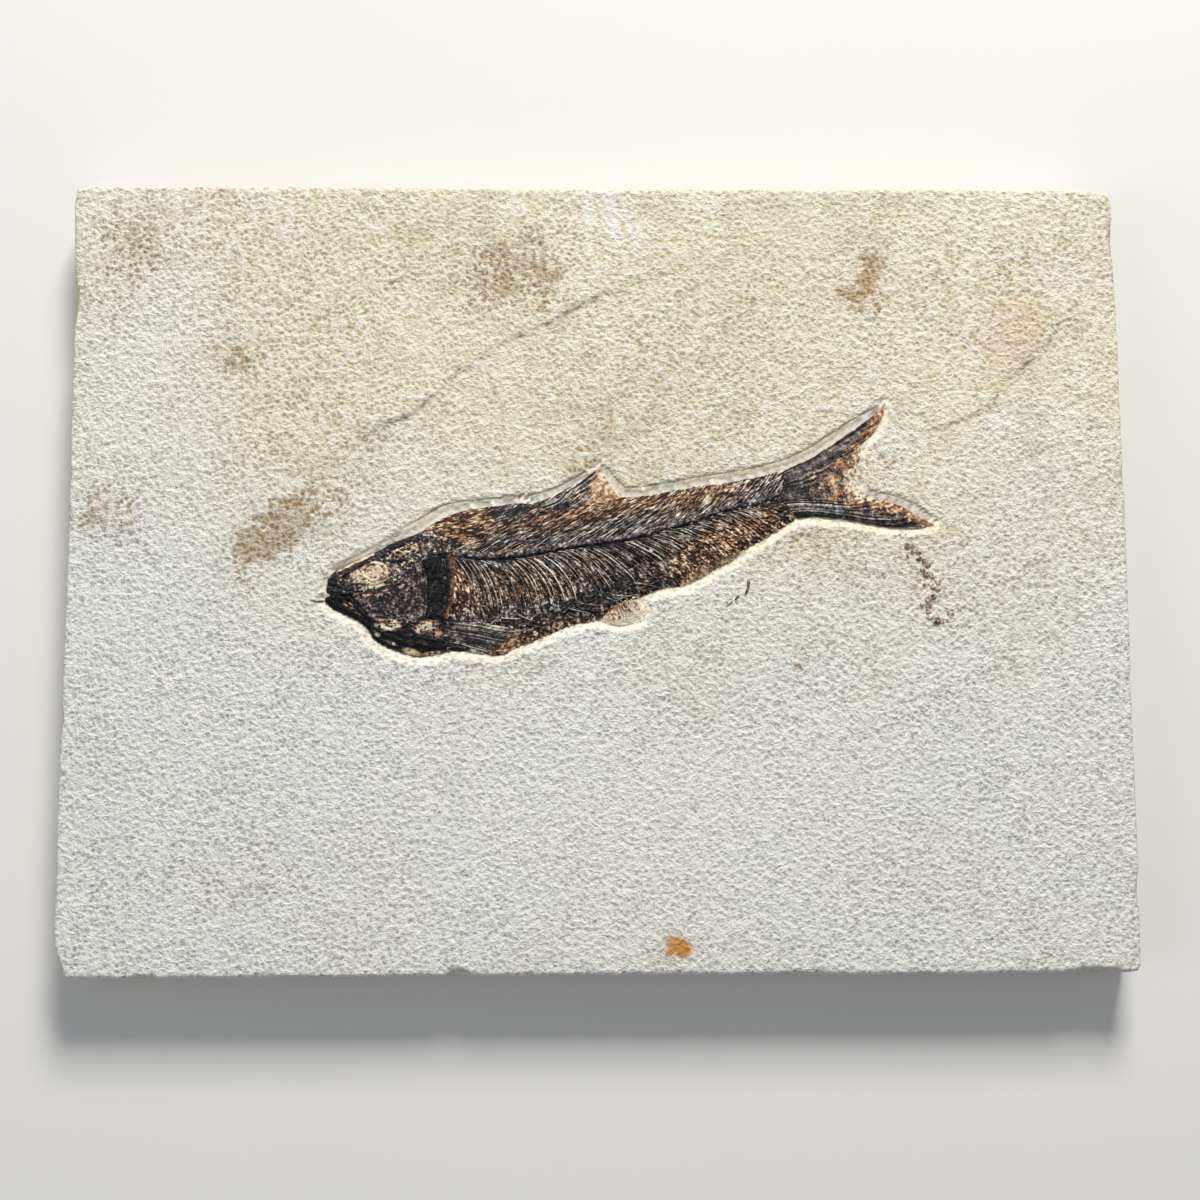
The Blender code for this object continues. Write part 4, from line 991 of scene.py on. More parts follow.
        # The scraped stone's paleness is its own; halving it on the lower side, where the wall faces the
        # light, is painted shade.
        scraped *= (1 - 0.8 * open_fork) * (0.5 + 0.5 * faces_up) * (1 - 0.5 * head * faces_up)
        long_rise, long_step_shade = self.step(x, y, LONG_STEP, 26.0)
        short_rise, short_step_shade = self.step(x, y, SHORT_STEP, 16.0)
        chip = self.chips(x, y)
        stone = self.stone(x, y, scraped) + long_rise + short_rise - chip
        toe = TOE_Z - TOE_FALL * np.clip(distance / TOE_WIDTH, 0.0, 1.0) + 0.04 * noise(x / 1.2, y / 1.2, 63)
        under = smoothstep(-0.5, 0.0, distance)
        floor = FLOOR_Z * (1 - under) + toe * under
        scratch = 0.12 * layered(distance / 0.5, (x + 0.6 * y) / 3.2, 64) * np.sin(math.pi * cut)
        wall_z = floor + (stone - floor) * (1 - (1 - cut) ** 1.5) + scratch
        z = np.minimum(np.where(cut >= 1.0, stone, wall_z), FACE_Z + self.highest)

        # Painted shade: the crest mask darkens a line at the crest of the wall above the fish, which faces
        # away from the light, and a band down that wall; a line beside the fish's lower edge, where its
        # shadow falls; and the shaded slopes of the steps.
        shaded_side = faces_up * (1 - open_fork)
        crest = 0.5 * np.exp(-(((past_toe - wall) / 0.20) ** 2)) * shaded_side * smoothstep(0.3, 1.2, wall)
        crest *= np.clip(0.75 + 0.6 * noise(x / 2.2, y / 2.2, 65), 0.0, 1.0)
        band = smoothstep(0.30, 0.55, cut) * fall(0.93, 1.0, cut) * shaded_side
        crest += band * (0.20 + 0.12 * layered(x / 3, y / 3, 69))
        crest += 0.7 * (1 - faces_up) * fall(-0.1, 0.22, distance)
        crest = np.clip(crest + long_step_shade + short_step_shade, 0.0, 1.0)
        warmth = smoothstep(-34.0, 44.0, y + 10 * noise(x / 30, y / 30, 66)) * 0.85 + 0.1
        warmth -= 0.45 * fall(-100.0, -45.0, x)
        masks = np.stack([warmth, scraped, np.clip(chip, 0, 0.6), crest], axis=-1)

        # Painted highlight: a bright strip of floor along the toe beside the fish's upper edge, added to the
        # chalky channel of the stains.
        toe_highlight = np.exp(-(((distance - 0.32) / 0.34) ** 4)) * faces_up * (1 - 0.7 * head)
        blot_x, blot_y = x + 5 * layered(x / 7, y / 7, 67), y + 5 * layered(x / 7, y / 7, 68)
        brown = 1.2 * cover(BROWN_STAINS, blot_x, blot_y) * (1 - scraped)
        brown += 1.4 * cover(DARK_SPOTS, x, y) + 0.5 * open_fork
        stains = np.stack([brown, cover(RUST_STAINS, x, y), cover(CHALK_BLOOMS, x, y) + 0.9 * toe_highlight,
                           cover(PEACH_TINTS, x, y)], axis=-1)
        return z, masks, np.clip(stains, 0.0, 1.6)

    def stone(self, x: Array, y: Array, scraped: Array) -> Array:
        """The face's own height: broad swells, a grain of dimples that scraping smooths, and edges that
        are nibbled and rounded off as a quarter circle."""
        swell = 0.16 * layered(x / 46, y / 38, 3)
        dimple, _ = cells(x / 1.6 + 0.3 * noise(x / 3, y / 3, 5), y / 1.5 + 0.3 * noise(x / 3, y / 3, 6), 11)
        grain = 0.12 * (dimple - 0.45) + 0.06 * noise(x / 1.1, y / 1.1, 12) + 0.06 * noise(x / 4, y / 4, 13)
        grain *= (0.8 + 0.4 * layered(x / 6, y / 6, 14)) * (1 - 0.9 * scraped)
        edge = self.to_edge(x, y)
        nibble = np.maximum(noise(x / 2.6, y / 2.6, 71) + 0.15, 0.0) * 0.5 * np.exp(-edge / 0.6)
        rounding = np.maximum(self.arris - edge, 0.0)
        drop = self.arris - np.sqrt(np.maximum(self.arris**2 - rounding**2, 0.0))
        return FACE_Z + swell + grain - drop - nibble

    @staticmethod
    def chips(x: Array, y: Array) -> Array:
        """How deep the chips and pits are: each is a bowl, depth times the root of 1 - r^2."""
        chip = np.zeros(x.shape)
        for middle_x, middle_y, half_length, half_width, depth in CHIPS:
            bowl = 1 - ((x - middle_x) / half_length) ** 2 - ((y - middle_y) / half_width) ** 2
            chip = np.maximum(chip, depth * np.sqrt(np.maximum(bowl, 0.0)))
        return chip

    @staticmethod
    def step(x: Array, y: Array, line: Line, reach: float) -> tuple[Array, Array]:
        """A layer that ends in a ragged step, high on the line's left side and fading out over reach.

        Returns:
            Its rise, and a mask of the shaded slope at the line.
        """
        ragged_x, ragged_y = (p + 2.2 * layered(x / 7.0, y / 7.0, seed, 4) for p, seed in ((x, 81), (y, 82)))
        back = [(px - 60, py + 60, height) for px, py, height in home(line)]
        distance, _, height = Loop([*line, *back]).nearest(ragged_x, ragged_y)
        rise = height * smoothstep(-0.4, 0.4, -distance) * np.exp(-np.maximum(-distance, 0.0) / reach)
        patchy = blots(x, y, 3, 3, 83, -0.35, 0.35)
        return rise, 1.7 * height * patchy * np.exp(-(((distance - 0.2) / 0.45) ** 2))

    @staticmethod
    def to_edge(x: Array, y: Array) -> Array:
        """Distance inwards from the slab's outline, roughly: the least of those from its four edges."""
        left, right = (np.interp(y, [p[1] for p in line], [p[0] for p in line])
                       for line in (LEFT_EDGE, RIGHT_EDGE))
        inwards = [x - left, right - x, y - along(LOWER_EDGE, x), along(UPPER_EDGE, x) - y]
        return np.maximum(np.minimum.reduce(inwards), 0.0)

    @staticmethod
    def way_out(edge: Array) -> Array:
        """The way out of the slab along its rim, at right angles to the neighbouring points' line."""
        run = np.roll(edge, -3, axis=0)[:, :2] - np.roll(edge, 3, axis=0)[:, :2]
        out = np.stack([run[:, 1], -run[:, 0]], axis=1)
        return out / np.linalg.norm(out, axis=1)[:, None]

    def side_ring(self, edge: Array, way: Array, level: float) -> Array:
        """One ring of the broken sides: the rim let down to a level and drawn in by the beds' raggedness.

        The inset is a bed's own noise, slow along the edge, plus finer noise, and rounds off below.
        """
        run = np.arange(len(edge)) * self.side_step
        at = np.full(len(edge), level)
        beds, fine = (0.5 + 0.5 * noise(run / length, at * rate, seed)
                      for length, rate, seed in ((22, 0.9, 91), (1.7, 1.4, 92)))
        inset = 0.34 * beds + 0.22 * fine + 0.5 * np.exp(-level / 0.8)
        z = level + (edge[:, 2] - (FACE_Z - self.arris)) * smoothstep(6.0, FACE_Z, at)
        return np.column_stack([edge[:, :2] - inset[:, None] * way, z])

    @staticmethod
    def side_stains(points: Array) -> Array:
        """Brown, rusty and chalky stains in blotches over the sides and the back."""
        run, z = points[:, 0] + points[:, 1], points[:, 2]
        brown = 0.25 + 0.5 * layered(run / 24, z / 6, 95)
        rust = layered(run / 30, z / 9, 97) - 0.35
        chalk_and_highlight = 0.1 + 0.6 * layered(run / 15, z / 4, 96)
        return np.clip(np.stack([brown, rust, chalk_and_highlight, np.zeros(len(points))], axis=1), 0.0, 1.0)

    def back(self, edge: Array, way: Array, shape: tuple[int, int], start: int) -> tuple[Array, Array]:
        """The back: a coarser grid that rises by split layers, and rests on its lowest points.

        Returns:
            Its points, and their numbers from start on, as a grid.
        """
        rows, columns = ((n - 1) // self.back_share + 1 for n in shape)
        drawn = edge[:, :2] - self.back_inset * way
        drawn = np.concatenate([drawn, drawn[:1]])
        ends = np.cumsum([0, shape[1] - 1, shape[0] - 1, shape[1] - 1, shape[0] - 1])
        south, east, north, west = (drawn[a:b + 1:self.back_share] for a, b in zip(ends[:-1], ends[1:]))
        place = coons(south, east, north[::-1], west[::-1],
                      np.linspace(0, 1, columns), np.linspace(0, 1, rows))
        x, y = place[..., 0], place[..., 1]
        terraces = np.floor(3.0 * (0.5 + 0.5 * layered(x / 60, y / 44, 101)) + 0.3 * noise(x / 7, y / 7, 102))
        z = 0.12 * np.clip(terraces, 0, 3) + 0.05 * (1 + noise(x / 5, y / 5, 103))
        z *= smoothstep(0.0, 3.0, self.to_edge(x, y))
        index = start + np.arange(x.size).reshape(rows, columns)
        return np.stack([x, y, z], axis=-1).reshape(-1, 3), index

    def stitches(self, back_rim: Array, side_rim: Array) -> list[list[int]]:
        """Faces that join the sides' last ring to the back's coarser border, one per cell of the back."""
        share = self.back_share
        fine, coarse = (np.concatenate([rim, rim[:1]]) for rim in (side_rim, back_rim))
        return [[coarse[k], coarse[k + 1], *fine[k * share:(k + 1) * share + 1][::-1]]
                for k in range(len(back_rim))]


# --- The fossil's surface ------------------------------------------------------------------------


@dataclass(frozen=True)
class Stroke:
    """A thin bone, crease or streak along a bent line, with the look that it gives to the surface."""

    line: Line
    width: float
    rise: float
    tone: float
    grey: float = 1.0
    gloss: float = 0.6

    def weight(self, x: Array, y: Array) -> Array:
        """How strongly it covers each place: e^-((2d / width)^4), with d the distance from the line."""
        nearest = np.full(x.shape, 1e9)
        for (ax, ay), (bx, by) in zip(self.line[:-1], self.line[1:]):
            length = (bx - ax) ** 2 + (by - ay) ** 2
            t = np.clip(((x - ax) * (bx - ax) + (y - ay) * (by - ay)) / length, 0.0, 1.0)
            nearest = np.minimum(nearest, np.hypot(x - ax - t * (bx - ax), y - ay - t * (by - ay)))
        return np.exp(-((2 * nearest / self.width) ** 4))


class Surface:
    """What a piece's surface is like at each of its points: relief in millimetres, and four masks.

    The masks are the tone from black to cream, the share of the grey run of colours, the gloss, and the
    share of bare stone.
    """

    def __init__(self, shape: tuple[int, ...], tone: float, grey: float, gloss: float) -> None:
        """The same everywhere.

        Args:
            shape: The shape of the grid of points.
            tone: The tone mask.
            grey: The grey mask.
            gloss: The gloss mask.
        """
        self.relief, self.tone, self.grey, self.gloss, self.bare = (
            np.full(shape, value, float) for value in (0.0, tone, grey, gloss, 0.0))

    def lay(self, weight: Array, tone: float, grey: float, gloss: float, rise: float = 0.0) -> None:
        """Blend a look in where the weight is high."""
        self.relief += rise * weight
        self.tone += (tone - self.tone) * weight
        self.grey += (grey - self.grey) * weight
        self.gloss += (gloss - self.gloss) * weight

    def draw(self, strokes: Sequence[Stroke], x: Array, y: Array) -> None:
        """Lay strokes one over another."""
        for stroke in strokes:
            self.lay(stroke.weight(x, y), stroke.tone, stroke.grey, stroke.gloss, stroke.rise)

    def masks(self) -> Array:
        """The four masks, in a last axis."""
        return np.clip(np.stack([self.tone, self.grey, self.gloss, self.bare], axis=-1), 0.0, 1.0)


def wandered(x: Array, y: Array) -> tuple[Array, Array]:
    """Places moved a little by noise, the same for every piece, so that edges are ragged and still meet."""
    shift_x, shift_y = (0.13 * layered(x / 0.9, y / 0.9, seed, 2) + 0.10 * noise(x / 2.7, y / 2.7, seed + 2)
                        for seed in (31, 32))
    return x + shift_x, y + shift_y


def skin_height(x: Array, y: Array) -> Array:
    """Height of the fish without its relief: it rises from the outline as 1 - e^-(d / 1.8)."""
    inside = np.maximum(-FISH.nearest(x, y)[0], 0.0)
    swell = 0.07 * layered(x / 7, y / 5, 41, 2)
    return SKIN_EDGE_Z + 0.75 * (1 - np.exp(-inside / 1.8)) + swell * np.minimum(inside, 1.0)


def spine_height(x: Array) -> Array:
    """The y of the backbone's lower side at each x."""
    return along(SPINE, x)


def lean_above(x: Array) -> Array:
    """How far the strands above the backbone lean back, in degrees: 27, and 46 in the tail stalk."""
    return 27.0 + 19.0 * smoothstep(12.0, 32.0, x)


def rib_run(depth: Array, root: Array) -> Array:
    """How far a rib has run towards the tail at a depth below the backbone: A (1 - e^(-depth / B)).

    A and B rise with the rib's root: the first ribs hang steeply, the later ones trail.
    """
    share = np.clip((root + 24.0) / 26.0, 0.0, 1.0)
    return (5.2 + 10.0 * share) * (1 - np.exp(-depth / (5.0 + 4.0 * share)))


def strand(x: Array, y: Array) -> tuple[Array, Array]:
    """Which strand a place of the flank lies on, as the x of its root at the backbone, and how far along.

    Above the backbone strands lean back as lean_above() says. Below it they follow the ribs, found by
    four rounds of root = x - run(depth, root).
    """
    height = y - spine_height(x)
    root_above = x - np.maximum(height, 0.0) / np.tan(np.radians(lean_above(x)))
    depth = np.maximum(-height, 0.0)
    root_below = x - 0.6 * depth
    for _ in range(4):
        root_below = x - rib_run(depth, root_below)
    return np.where(height > 0, root_above, root_below), np.abs(height) * 1.6


def strand_looks(tone: Array, grey: Array, gloss: float) -> Array:
    """Four masks for each of several strands, none of which is bare stone."""
    return np.clip(np.column_stack([tone, grey, np.full(len(tone), gloss), np.zeros(len(tone))]), 0.0, 1.0)


def lay_strands(shell: Shell, x: Array, y: Array, radii: Array, look: Array, lift: float = 0.0) -> None:
    """Lay round strands on the fish along paths of places, both (strands, points)."""
    x = x + 0.10 * noise(x / 2.3, y / 2.3, 51)
    y = y + 0.10 * noise(x / 2.3, y / 2.3, 52)
    z = skin_height(x, y) + lift + 0.35 * radii + 0.05
    shell.add_tubes(np.stack([x, y, z], axis=-1), radii, look)


@dataclass
class Plate:
    """A bone, fin or patch of skin: a grid of points between four lines, closed down to its bed."""

    name: str
    node: str
    south: Line
    east: Line
    north: Line
    west: Line
    columns: int
    rows: int
    plain: Looks = (0.2, 0.5, 0.5)  # tone, grey and gloss where nothing else is laid
    ray_cells: int = 60  # of the grid that rays are placed by

    def surface(self, look: Surface, x: Array, y: Array, u: Array, v: Array) -> None:
        """Give the plain look its marks; u runs along the south line and v along the west one."""
        raise NotImplementedError

    def strands(self, shell: Shell) -> None:
        """Add the rays that lie on the plate, if it has any."""

    def grid(self, u: Array, v: Array) -> Array:
        """The grid of places at the fractions u and v of its sides."""
        return between((self.south, self.east, self.north, self.west), u, v)

    def rays(self, shell: Shell, u: Array, v: Array, radii: Array, looks: Looks, seed: int) -> None:
        """Lay rays on the plate, half sunk in it.

        Args:
            shell: What they are added to.
            u: Fractions along the plate, (rays, points).
            v: Fractions across it, (rays, points).
            radii: Half widths in millimetres, (rays, points).
            looks: The mean tone and grey of the rays, and their gloss.
            seed: For the tones and greys that vary about the mean.
        """
        tone, grey, gloss = looks
        rng = np.random.default_rng(seed)
        masks = strand_looks(rng.normal(tone, 0.20, len(u)), rng.normal(grey, 0.15, len(u)), gloss)
        n = self.ray_cells
        grid = self.grid(np.linspace(0, 1, n + 1), np.linspace(0, 1, n + 1))
        column, row = np.clip(u, 0, 0.999) * n, np.clip(v, 0, 0.999) * n
        j, i = column.astype(int), row.astype(int)
        fu, fv = (column - j)[..., None], (row - i)[..., None]
        place = ((1 - fv) * ((1 - fu) * grid[i, j] + fu * grid[i, j + 1])
                 + fv * ((1 - fu) * grid[i + 1, j] + fu * grid[i + 1, j + 1]))
        lay_strands(shell, place[..., 0], place[..., 1], radii, masks)

    def build(self, material: bpy.types.Material) -> bpy.types.Object:
        """Make the piece: the fish's height plus the piece's own relief, with its rays on it."""
        u, v = np.linspace(0, 1, self.columns + 1), np.linspace(0, 1, self.rows + 1)
        grid = self.grid(u, v)
        x, y = wandered(grid[..., 0], grid[..., 1])
        look = Surface(x.shape, *self.plain)
        self.surface(look, x, y, *np.meshgrid(u, v))
        z = np.maximum(skin_height(x, y) + look.relief, BED_Z + 0.12)
        shell = Shell()
        shell.add_sheet(np.stack([x, y, z], axis=-1), look.masks(), BED_Z)
        self.strands(shell)
        return shell.to_object(self.name, self.node, material)


# --- The head ------------------------------------------------------------------------------------


@dataclass
class Skull(Plate):
    """The skull: its black roof, the pale orbit with the ring of the eye, the snout and the nape."""

    plain: Looks = (0.12, 0.88, 0.7)
    strokes: tuple[Stroke, ...] = (
        Stroke(((-52.6, -2.5), (-47.0, -2.6), (-41.8, -1.9)), 0.50, 0.10, 0.10),
        Stroke(((-55.6, -2.4), (-54.2, -0.9), (-51.5, 0.7), (-48.6, 2.0), (-45.4, 3.8), (-42.0, 5.5),
                (-39.2, 6.9), (-37.0, 7.4)), 1.50, 0.26, 0.04, 0.9, 0.95),
        Stroke(((-53.6, -1.3), (-50.6, 0.5), (-47.0, 2.5), (-44.0, 3.6)), 0.50, 0.15, 0.10, 0.8, 0.9),
        Stroke(((-54.0, 0.1), (-50.4, 1.8), (-46.6, 3.6)), 0.42, 0.05, 0.72, 0.0, 0.3),
        Stroke(((-55.8, -3.4), (-54.2, -3.9), (-52.4, -4.6), (-50.9, -4.5)), 0.70, 0.22, 0.05, 0.9, 0.95),
        Stroke(((-55.2, -2.2), (-53.4, -2.9), (-51.6, -3.8)), 0.60, 0.18, 0.07, 0.9, 0.9),
        Stroke(((-43.6, 4.6), (-41.4, 3.4), (-39.8, 3.8)), 0.40, 0.14, 0.55, 0.1, 0.6),
        Stroke(((-42.6, 2.4), (-40.4, 2.2), (-39.0, 3.4), (-37.4, 3.2)), 0.50, 0.16, 0.14, 0.9, 0.9),
        Stroke(((-39.8, 5.9), (-38.0, 4.6), (-36.4, 5.4)), 0.50, 0.16, 0.50, 0.2, 0.7),
        Stroke(((-36.8, 3.0), (-35.2, 5.0), (-33.4, 5.6), (-32.0, 5.0)), 0.60, 0.20, 0.42, 0.9, 0.9),
        Stroke(((-35.8, 6.8), (-34.0, 6.2), (-32.4, 6.6)), 0.50, 0.14, 0.12, 0.8, 0.8),
        Stroke(((-38.2, 7.2), (-37.0, 5.6), (-36.6, 3.8)), 0.45, 0.14, 0.10, 0.7, 0.8),
        Stroke(((-41.0, 0.6), (-39.0, 1.8), (-37.6, 1.9)), 0.45, 0.12, 0.16, 0.9, 0.8),
    )

    def surface(self, look: Surface, x: Array, y: Array, u: Array, v: Array) -> None:
        """Dark crumpled bone, then the orbit, the eye's ring, the snout's lumps and the strokes."""
        grain = fibres(x, y, 30.0, 0.42, 1.5, 201)
        crumple = layered(x / 1.1, y / 0.9, 202)
        look.relief += 0.13 * grain + 0.13 * crumple
        look.tone += 0.50 * grain + 0.35 * crumple
        speck = blots(x, y, 0.6, 0.5, 209, 0.20, 0.32)
        look.lay(0.9 * speck, 0.80, 0.40, 0.4, 0.03)
        _, border = cells(x / 1.25 + 0.3 * crumple, y / 0.95, 203)
        veined = oval(x, y, -39.6, 4.0, 5.0, 3.4, 25)
        vein = veined * fall(0.05, 0.22, border)
        look.lay(vein, 0.78, 0.25, 0.5, 0.05)
        look.lay(veined * smoothstep(0.35, 0.6, border), 0.06, 0.8, 0.95, 0.10)
        nape = oval(x, y, -33.2, 6.6, 2.8, 2.0, -30)
        look.lay(nape * smoothstep(-0.1, 0.3, crumple), 0.46, 0.15, 0.4, 0.04)

        orbit = cover([(-46.8, -0.4, 4.6, 2.4, 4), (-46.0, -3.0, 2.2, 0.8, 8, 0.9)], x, y)
        orbit = np.clip(orbit, 0, 1) * blots(x, y, 1.3, 1.0, 207, -0.62, -0.30)
        look.lay(orbit, 0.86, 0.35, 0.3, -0.06)
        look.bare += 0.54 * orbit
        stain = orbit * blots(x, y, 0.9, 0.7, 204, 0.12, 0.40)
        look.lay(0.7 * stain, 0.48, 0.35, 0.3, -0.05)
        ex, ey, half_x, half_y = EYE
        radius = np.hypot((x - ex) / half_x, (y - ey) / half_y) + 0.10 * noise(x / 1.4, y / 1.4, 206)
        look.lay(0.6 * fall(0.60, 0.82, radius), 0.66, 0.20, 0.5, 0.06)
        look.lay(0.9 * np.exp(-(((radius - 0.95) / 0.14) ** 2)), 0.86, 0.25, 0.5, 0.18)
        line = 0.3 + 0.7 * smoothstep(-0.2, 0.3, noise(x / 1.2, y / 1.2, 208))
        for ring, thick in ((0.76, 0.08), (1.17, 0.09)):
            circle = 0.9 * line * np.exp(-(((radius - ring) / thick) ** 2))
            look.lay(circle, 0.30, 0.3, 0.4, -0.08)
            look.bare *= 1 - circle
        look.lay(oval(x, y, -46.0, -0.3, 0.9, 0.45, 30), 0.36, 0.3, 0.6, -0.05)

        near, edge = cells(x / 1.05, y / 0.85, 205)
        snout = oval(x, y, -53.6, -2.9, 3.0, 2.6, -20)
        look.lay(snout, 0.07, 0.85, 0.9, 0.10)
        look.relief += snout * 0.22 * (0.55 - near)
        look.lay(snout * fall(0.04, 0.12, edge) * smoothstep(0.0, 0.25, crumple), 0.66, 0.4, 0.5)
        look.draw(self.strokes, x, y)


@dataclass
class GillCover(Plate):
    """The cheek and gill cover: thin purple-brown bone with fine rays and pale specks."""

    plain: Looks = (0.23, 0.72, 0.42)
    strokes: tuple[Stroke, ...] = (
        Stroke(((-51.4, -4.9), (-49.8, -6.8), (-48.0, -8.8), (-46.4, -10.2)), 1.0, 0.22, 0.05, 0.9, 0.9),
        Stroke(((-50.0, -4.9), (-46.0, -3.8), (-42.4, -3.2), (-40.0, -1.2)), 0.45, 0.10, 0.10, 0.8, 0.7),
        Stroke(((-49.6, -5.6), (-47.6, -6.6), (-46.6, -8.6)), 0.40, 0.08, 0.30, 0.9, 0.6),
        Stroke(((-36.4, 1.4), (-35.9, -1.4), (-35.8, -6.0), (-36.2, -9.6)), 0.40, 0.05, 0.05, 0.9, 0.6),
        Stroke(((-45.8, -9.2), (-42.4, -9.6), (-39.0, -9.2), (-37.0, -7.6)), 0.40, 0.08, 0.12, 0.9, 0.7),
    )

    def surface(self, look: Surface, x: Array, y: Array, u: Array, v: Array) -> None:
        """Fine rays fan out from the cover's upper rear corner; noise in polar places makes them."""
        turn = np.arctan2(y - 1.5, x + 36.8)
        radius = np.hypot(y - 1.5, x + 36.8)
        rays = layered(turn * 9.0, radius / 2.6, 211, 2)
        grain = layered(x / 0.75, y / 0.6, 212)
        cloud = layered(x / 3.6, y / 2.6, 213)
        look.relief += 0.09 * rays + 0.12 * grain + 0.12 * cloud
        look.tone += 0.36 * rays + 0.28 * grain + 0.10 * cloud
        look.grey += 0.25 * cloud
        speck = blots(x, y, 0.55, 0.42, 214, 0.32, 0.48)
        look.lay(0.85 * speck * smoothstep(-0.5, 0.1, cloud), 0.72, 0.6, 0.4, 0.03)
        pit = blots(x, y, 0.6, 0.45, 215, 0.22, 0.38)
        look.lay(0.8 * pit, 0.05, 0.7, 0.3, -0.07)
        pale = cover([(-44.6, -10.2, 1.5, 0.5, -10), (-42.2, -10.4, 1.3, 0.5, -5),
                      (-48.2, -4.7, 1.4, 0.5, 5), (-43.8, -3.6, 1.4, 0.4, 10, 0.7)], x, y)
        look.lay(np.clip(pale, 0, 1) * smoothstep(-0.3, 0.1, grain), 0.78, 0.15, 0.3, 0.04)
        look.draw(self.strokes, x, y)


@dataclass
class ShoulderBone(Plate):
    """The bone behind the gill cover: glossy blue-black, split by thin pale veins."""

    plain: Looks = (0.0, 0.95, 0.9)

    def surface(self, look: Surface, x: Array, y: Array, u: Array, v: Array) -> None:
        """Smooth lumps between the veins, which are the borders of stretched cells."""
        warp = layered(x / 2.2, y / 2.2, 221, 2)
        near, border = cells(x / 2.3 + 0.4 * warp, y / 2.9 + 0.4 * warp, 222)
        look.relief += 0.26 * (0.5 - near) + 0.10 * warp + 0.03 * layered(x / 0.7, y / 0.7, 223)
        thin = fall(0.02, 0.06, border) * blots(x, y, 1.4, 1.4, 226, -0.2, 0.2)
        look.lay(0.9 * thin, 0.52, 0.75, 0.5, 0.02)
        smear = oval(x, y, -33.0, -8.2, 2.2, 1.2, 10, 0.7)
        look.lay(smear * blots(x, y, 0.9, 0.7, 227, 0.0, 0.4), 0.36, 0.95, 0.5, -0.05)
        rear = smoothstep(0.72, 0.98, u + 0.18 * warp)
        look.lay(rear, 0.34, 0.12, 0.4)
        look.tone += rear * 0.25 * layered(x / 0.6, y / 0.6, 224)
        front = fall(0.02, 0.12, u + 0.05 * warp)
        look.lay(0.8 * front, 0.03, 0.6, 0.3, -0.10)
        glints = blots(x, y, 0.8, 0.6, 225, 0.45, 0.6) * oval(x, y, -33.5, 2.0, 2.5, 1.8)
        look.lay(glints, 0.62, 0.9, 0.6, 0.05)


@dataclass
class ThroatBones(Plate):
    """The throat: lapped black plates with pale stone and cream bone showing between them."""

    plain: Looks = (0.08, 0.85, 0.85)
    strokes: tuple[Stroke, ...] = (
        Stroke(((-47.0, -12.0), (-45.4, -14.0), (-42.4, -15.4), (-39.6, -16.2)), 0.8, 0.16, 0.05, 0.9, 0.9),
        Stroke(((-46.0, -11.4), (-43.6, -13.2), (-40.8, -14.4), (-38.4, -15.4)), 0.7, 0.16, 0.07, 0.9, 0.9),
        Stroke(((-44.6, -11.8), (-42.0, -12.4), (-39.4, -13.8)), 0.9, 0.14, 0.04, 0.95, 1.0),
        Stroke(((-37.8, -15.0), (-35.0, -15.8), (-32.0, -15.6)), 1.2, 0.18, 0.05, 0.95, 0.9),
        Stroke(((-38.6, -11.8), (-37.2, -13.6), (-34.2, -14.2)), 0.5, 0.12, 0.10, 0.9, 0.8),
    )
    pale: Ovals = (
        (-44.0, -11.4, 2.4, 0.9, -12), (-41.6, -11.2, 1.2, 0.5, 0), (-35.2, -11.3, 2.3, 1.3, 5),
        (-37.4, -12.2, 1.2, 0.6, -30, 0.8), (-33.2, -12.9, 1.4, 0.6, 10, 0.8),
        (-34.0, -16.9, 2.6, 0.5, 6, 0.8), (-45.6, -13.0, 0.8, 0.5, -30, 0.7),
        (-42.6, -14.8, 1.2, 0.35, -25, 0.8),
    )

    def surface(self, look: Surface, x: Array, y: Array, u: Array, v: Array) -> None:
        """Domed cells with dark tops, over which lie the pale spots, the strokes and the orange one."""
        crumple = layered(x / 1.0, y / 0.8, 231)
        near, border = cells(x / 1.5 + 0.4 * crumple, y / 1.0, 232)
        look.relief += 0.20 * (0.5 - near) + 0.08 * crumple
        seam = fall(0.03, 0.14, border) * blots(x, y, 2.4, 1.8, 233, -0.2, 0.2)
        look.lay(0.6 * seam, 0.60, 0.20, 0.4)
        brown = oval(x, y, -33.5, -13.0, 3.4, 2.2, 0) * smoothstep(-0.1, 0.3, crumple)
        look.lay(0.4 * brown, 0.30, 0.15, 0.4)
        look.draw(self.strokes, x, y)
        pale = inked(self.pale, x, y) * blots(x, y, 0.8, 0.55, 234, -0.30, 0.0)
        look.lay(pale, 0.80, 0.20, 0.3, 0.03)
        look.bare += 0.55 * pale
        orange = oval(x, y, -38.6, -16.6, 2.2, 0.8, -14) * smoothstep(-0.5, -0.1, crumple)
        look.lay(orange, 0.74, 0.0, 0.45, 0.03)


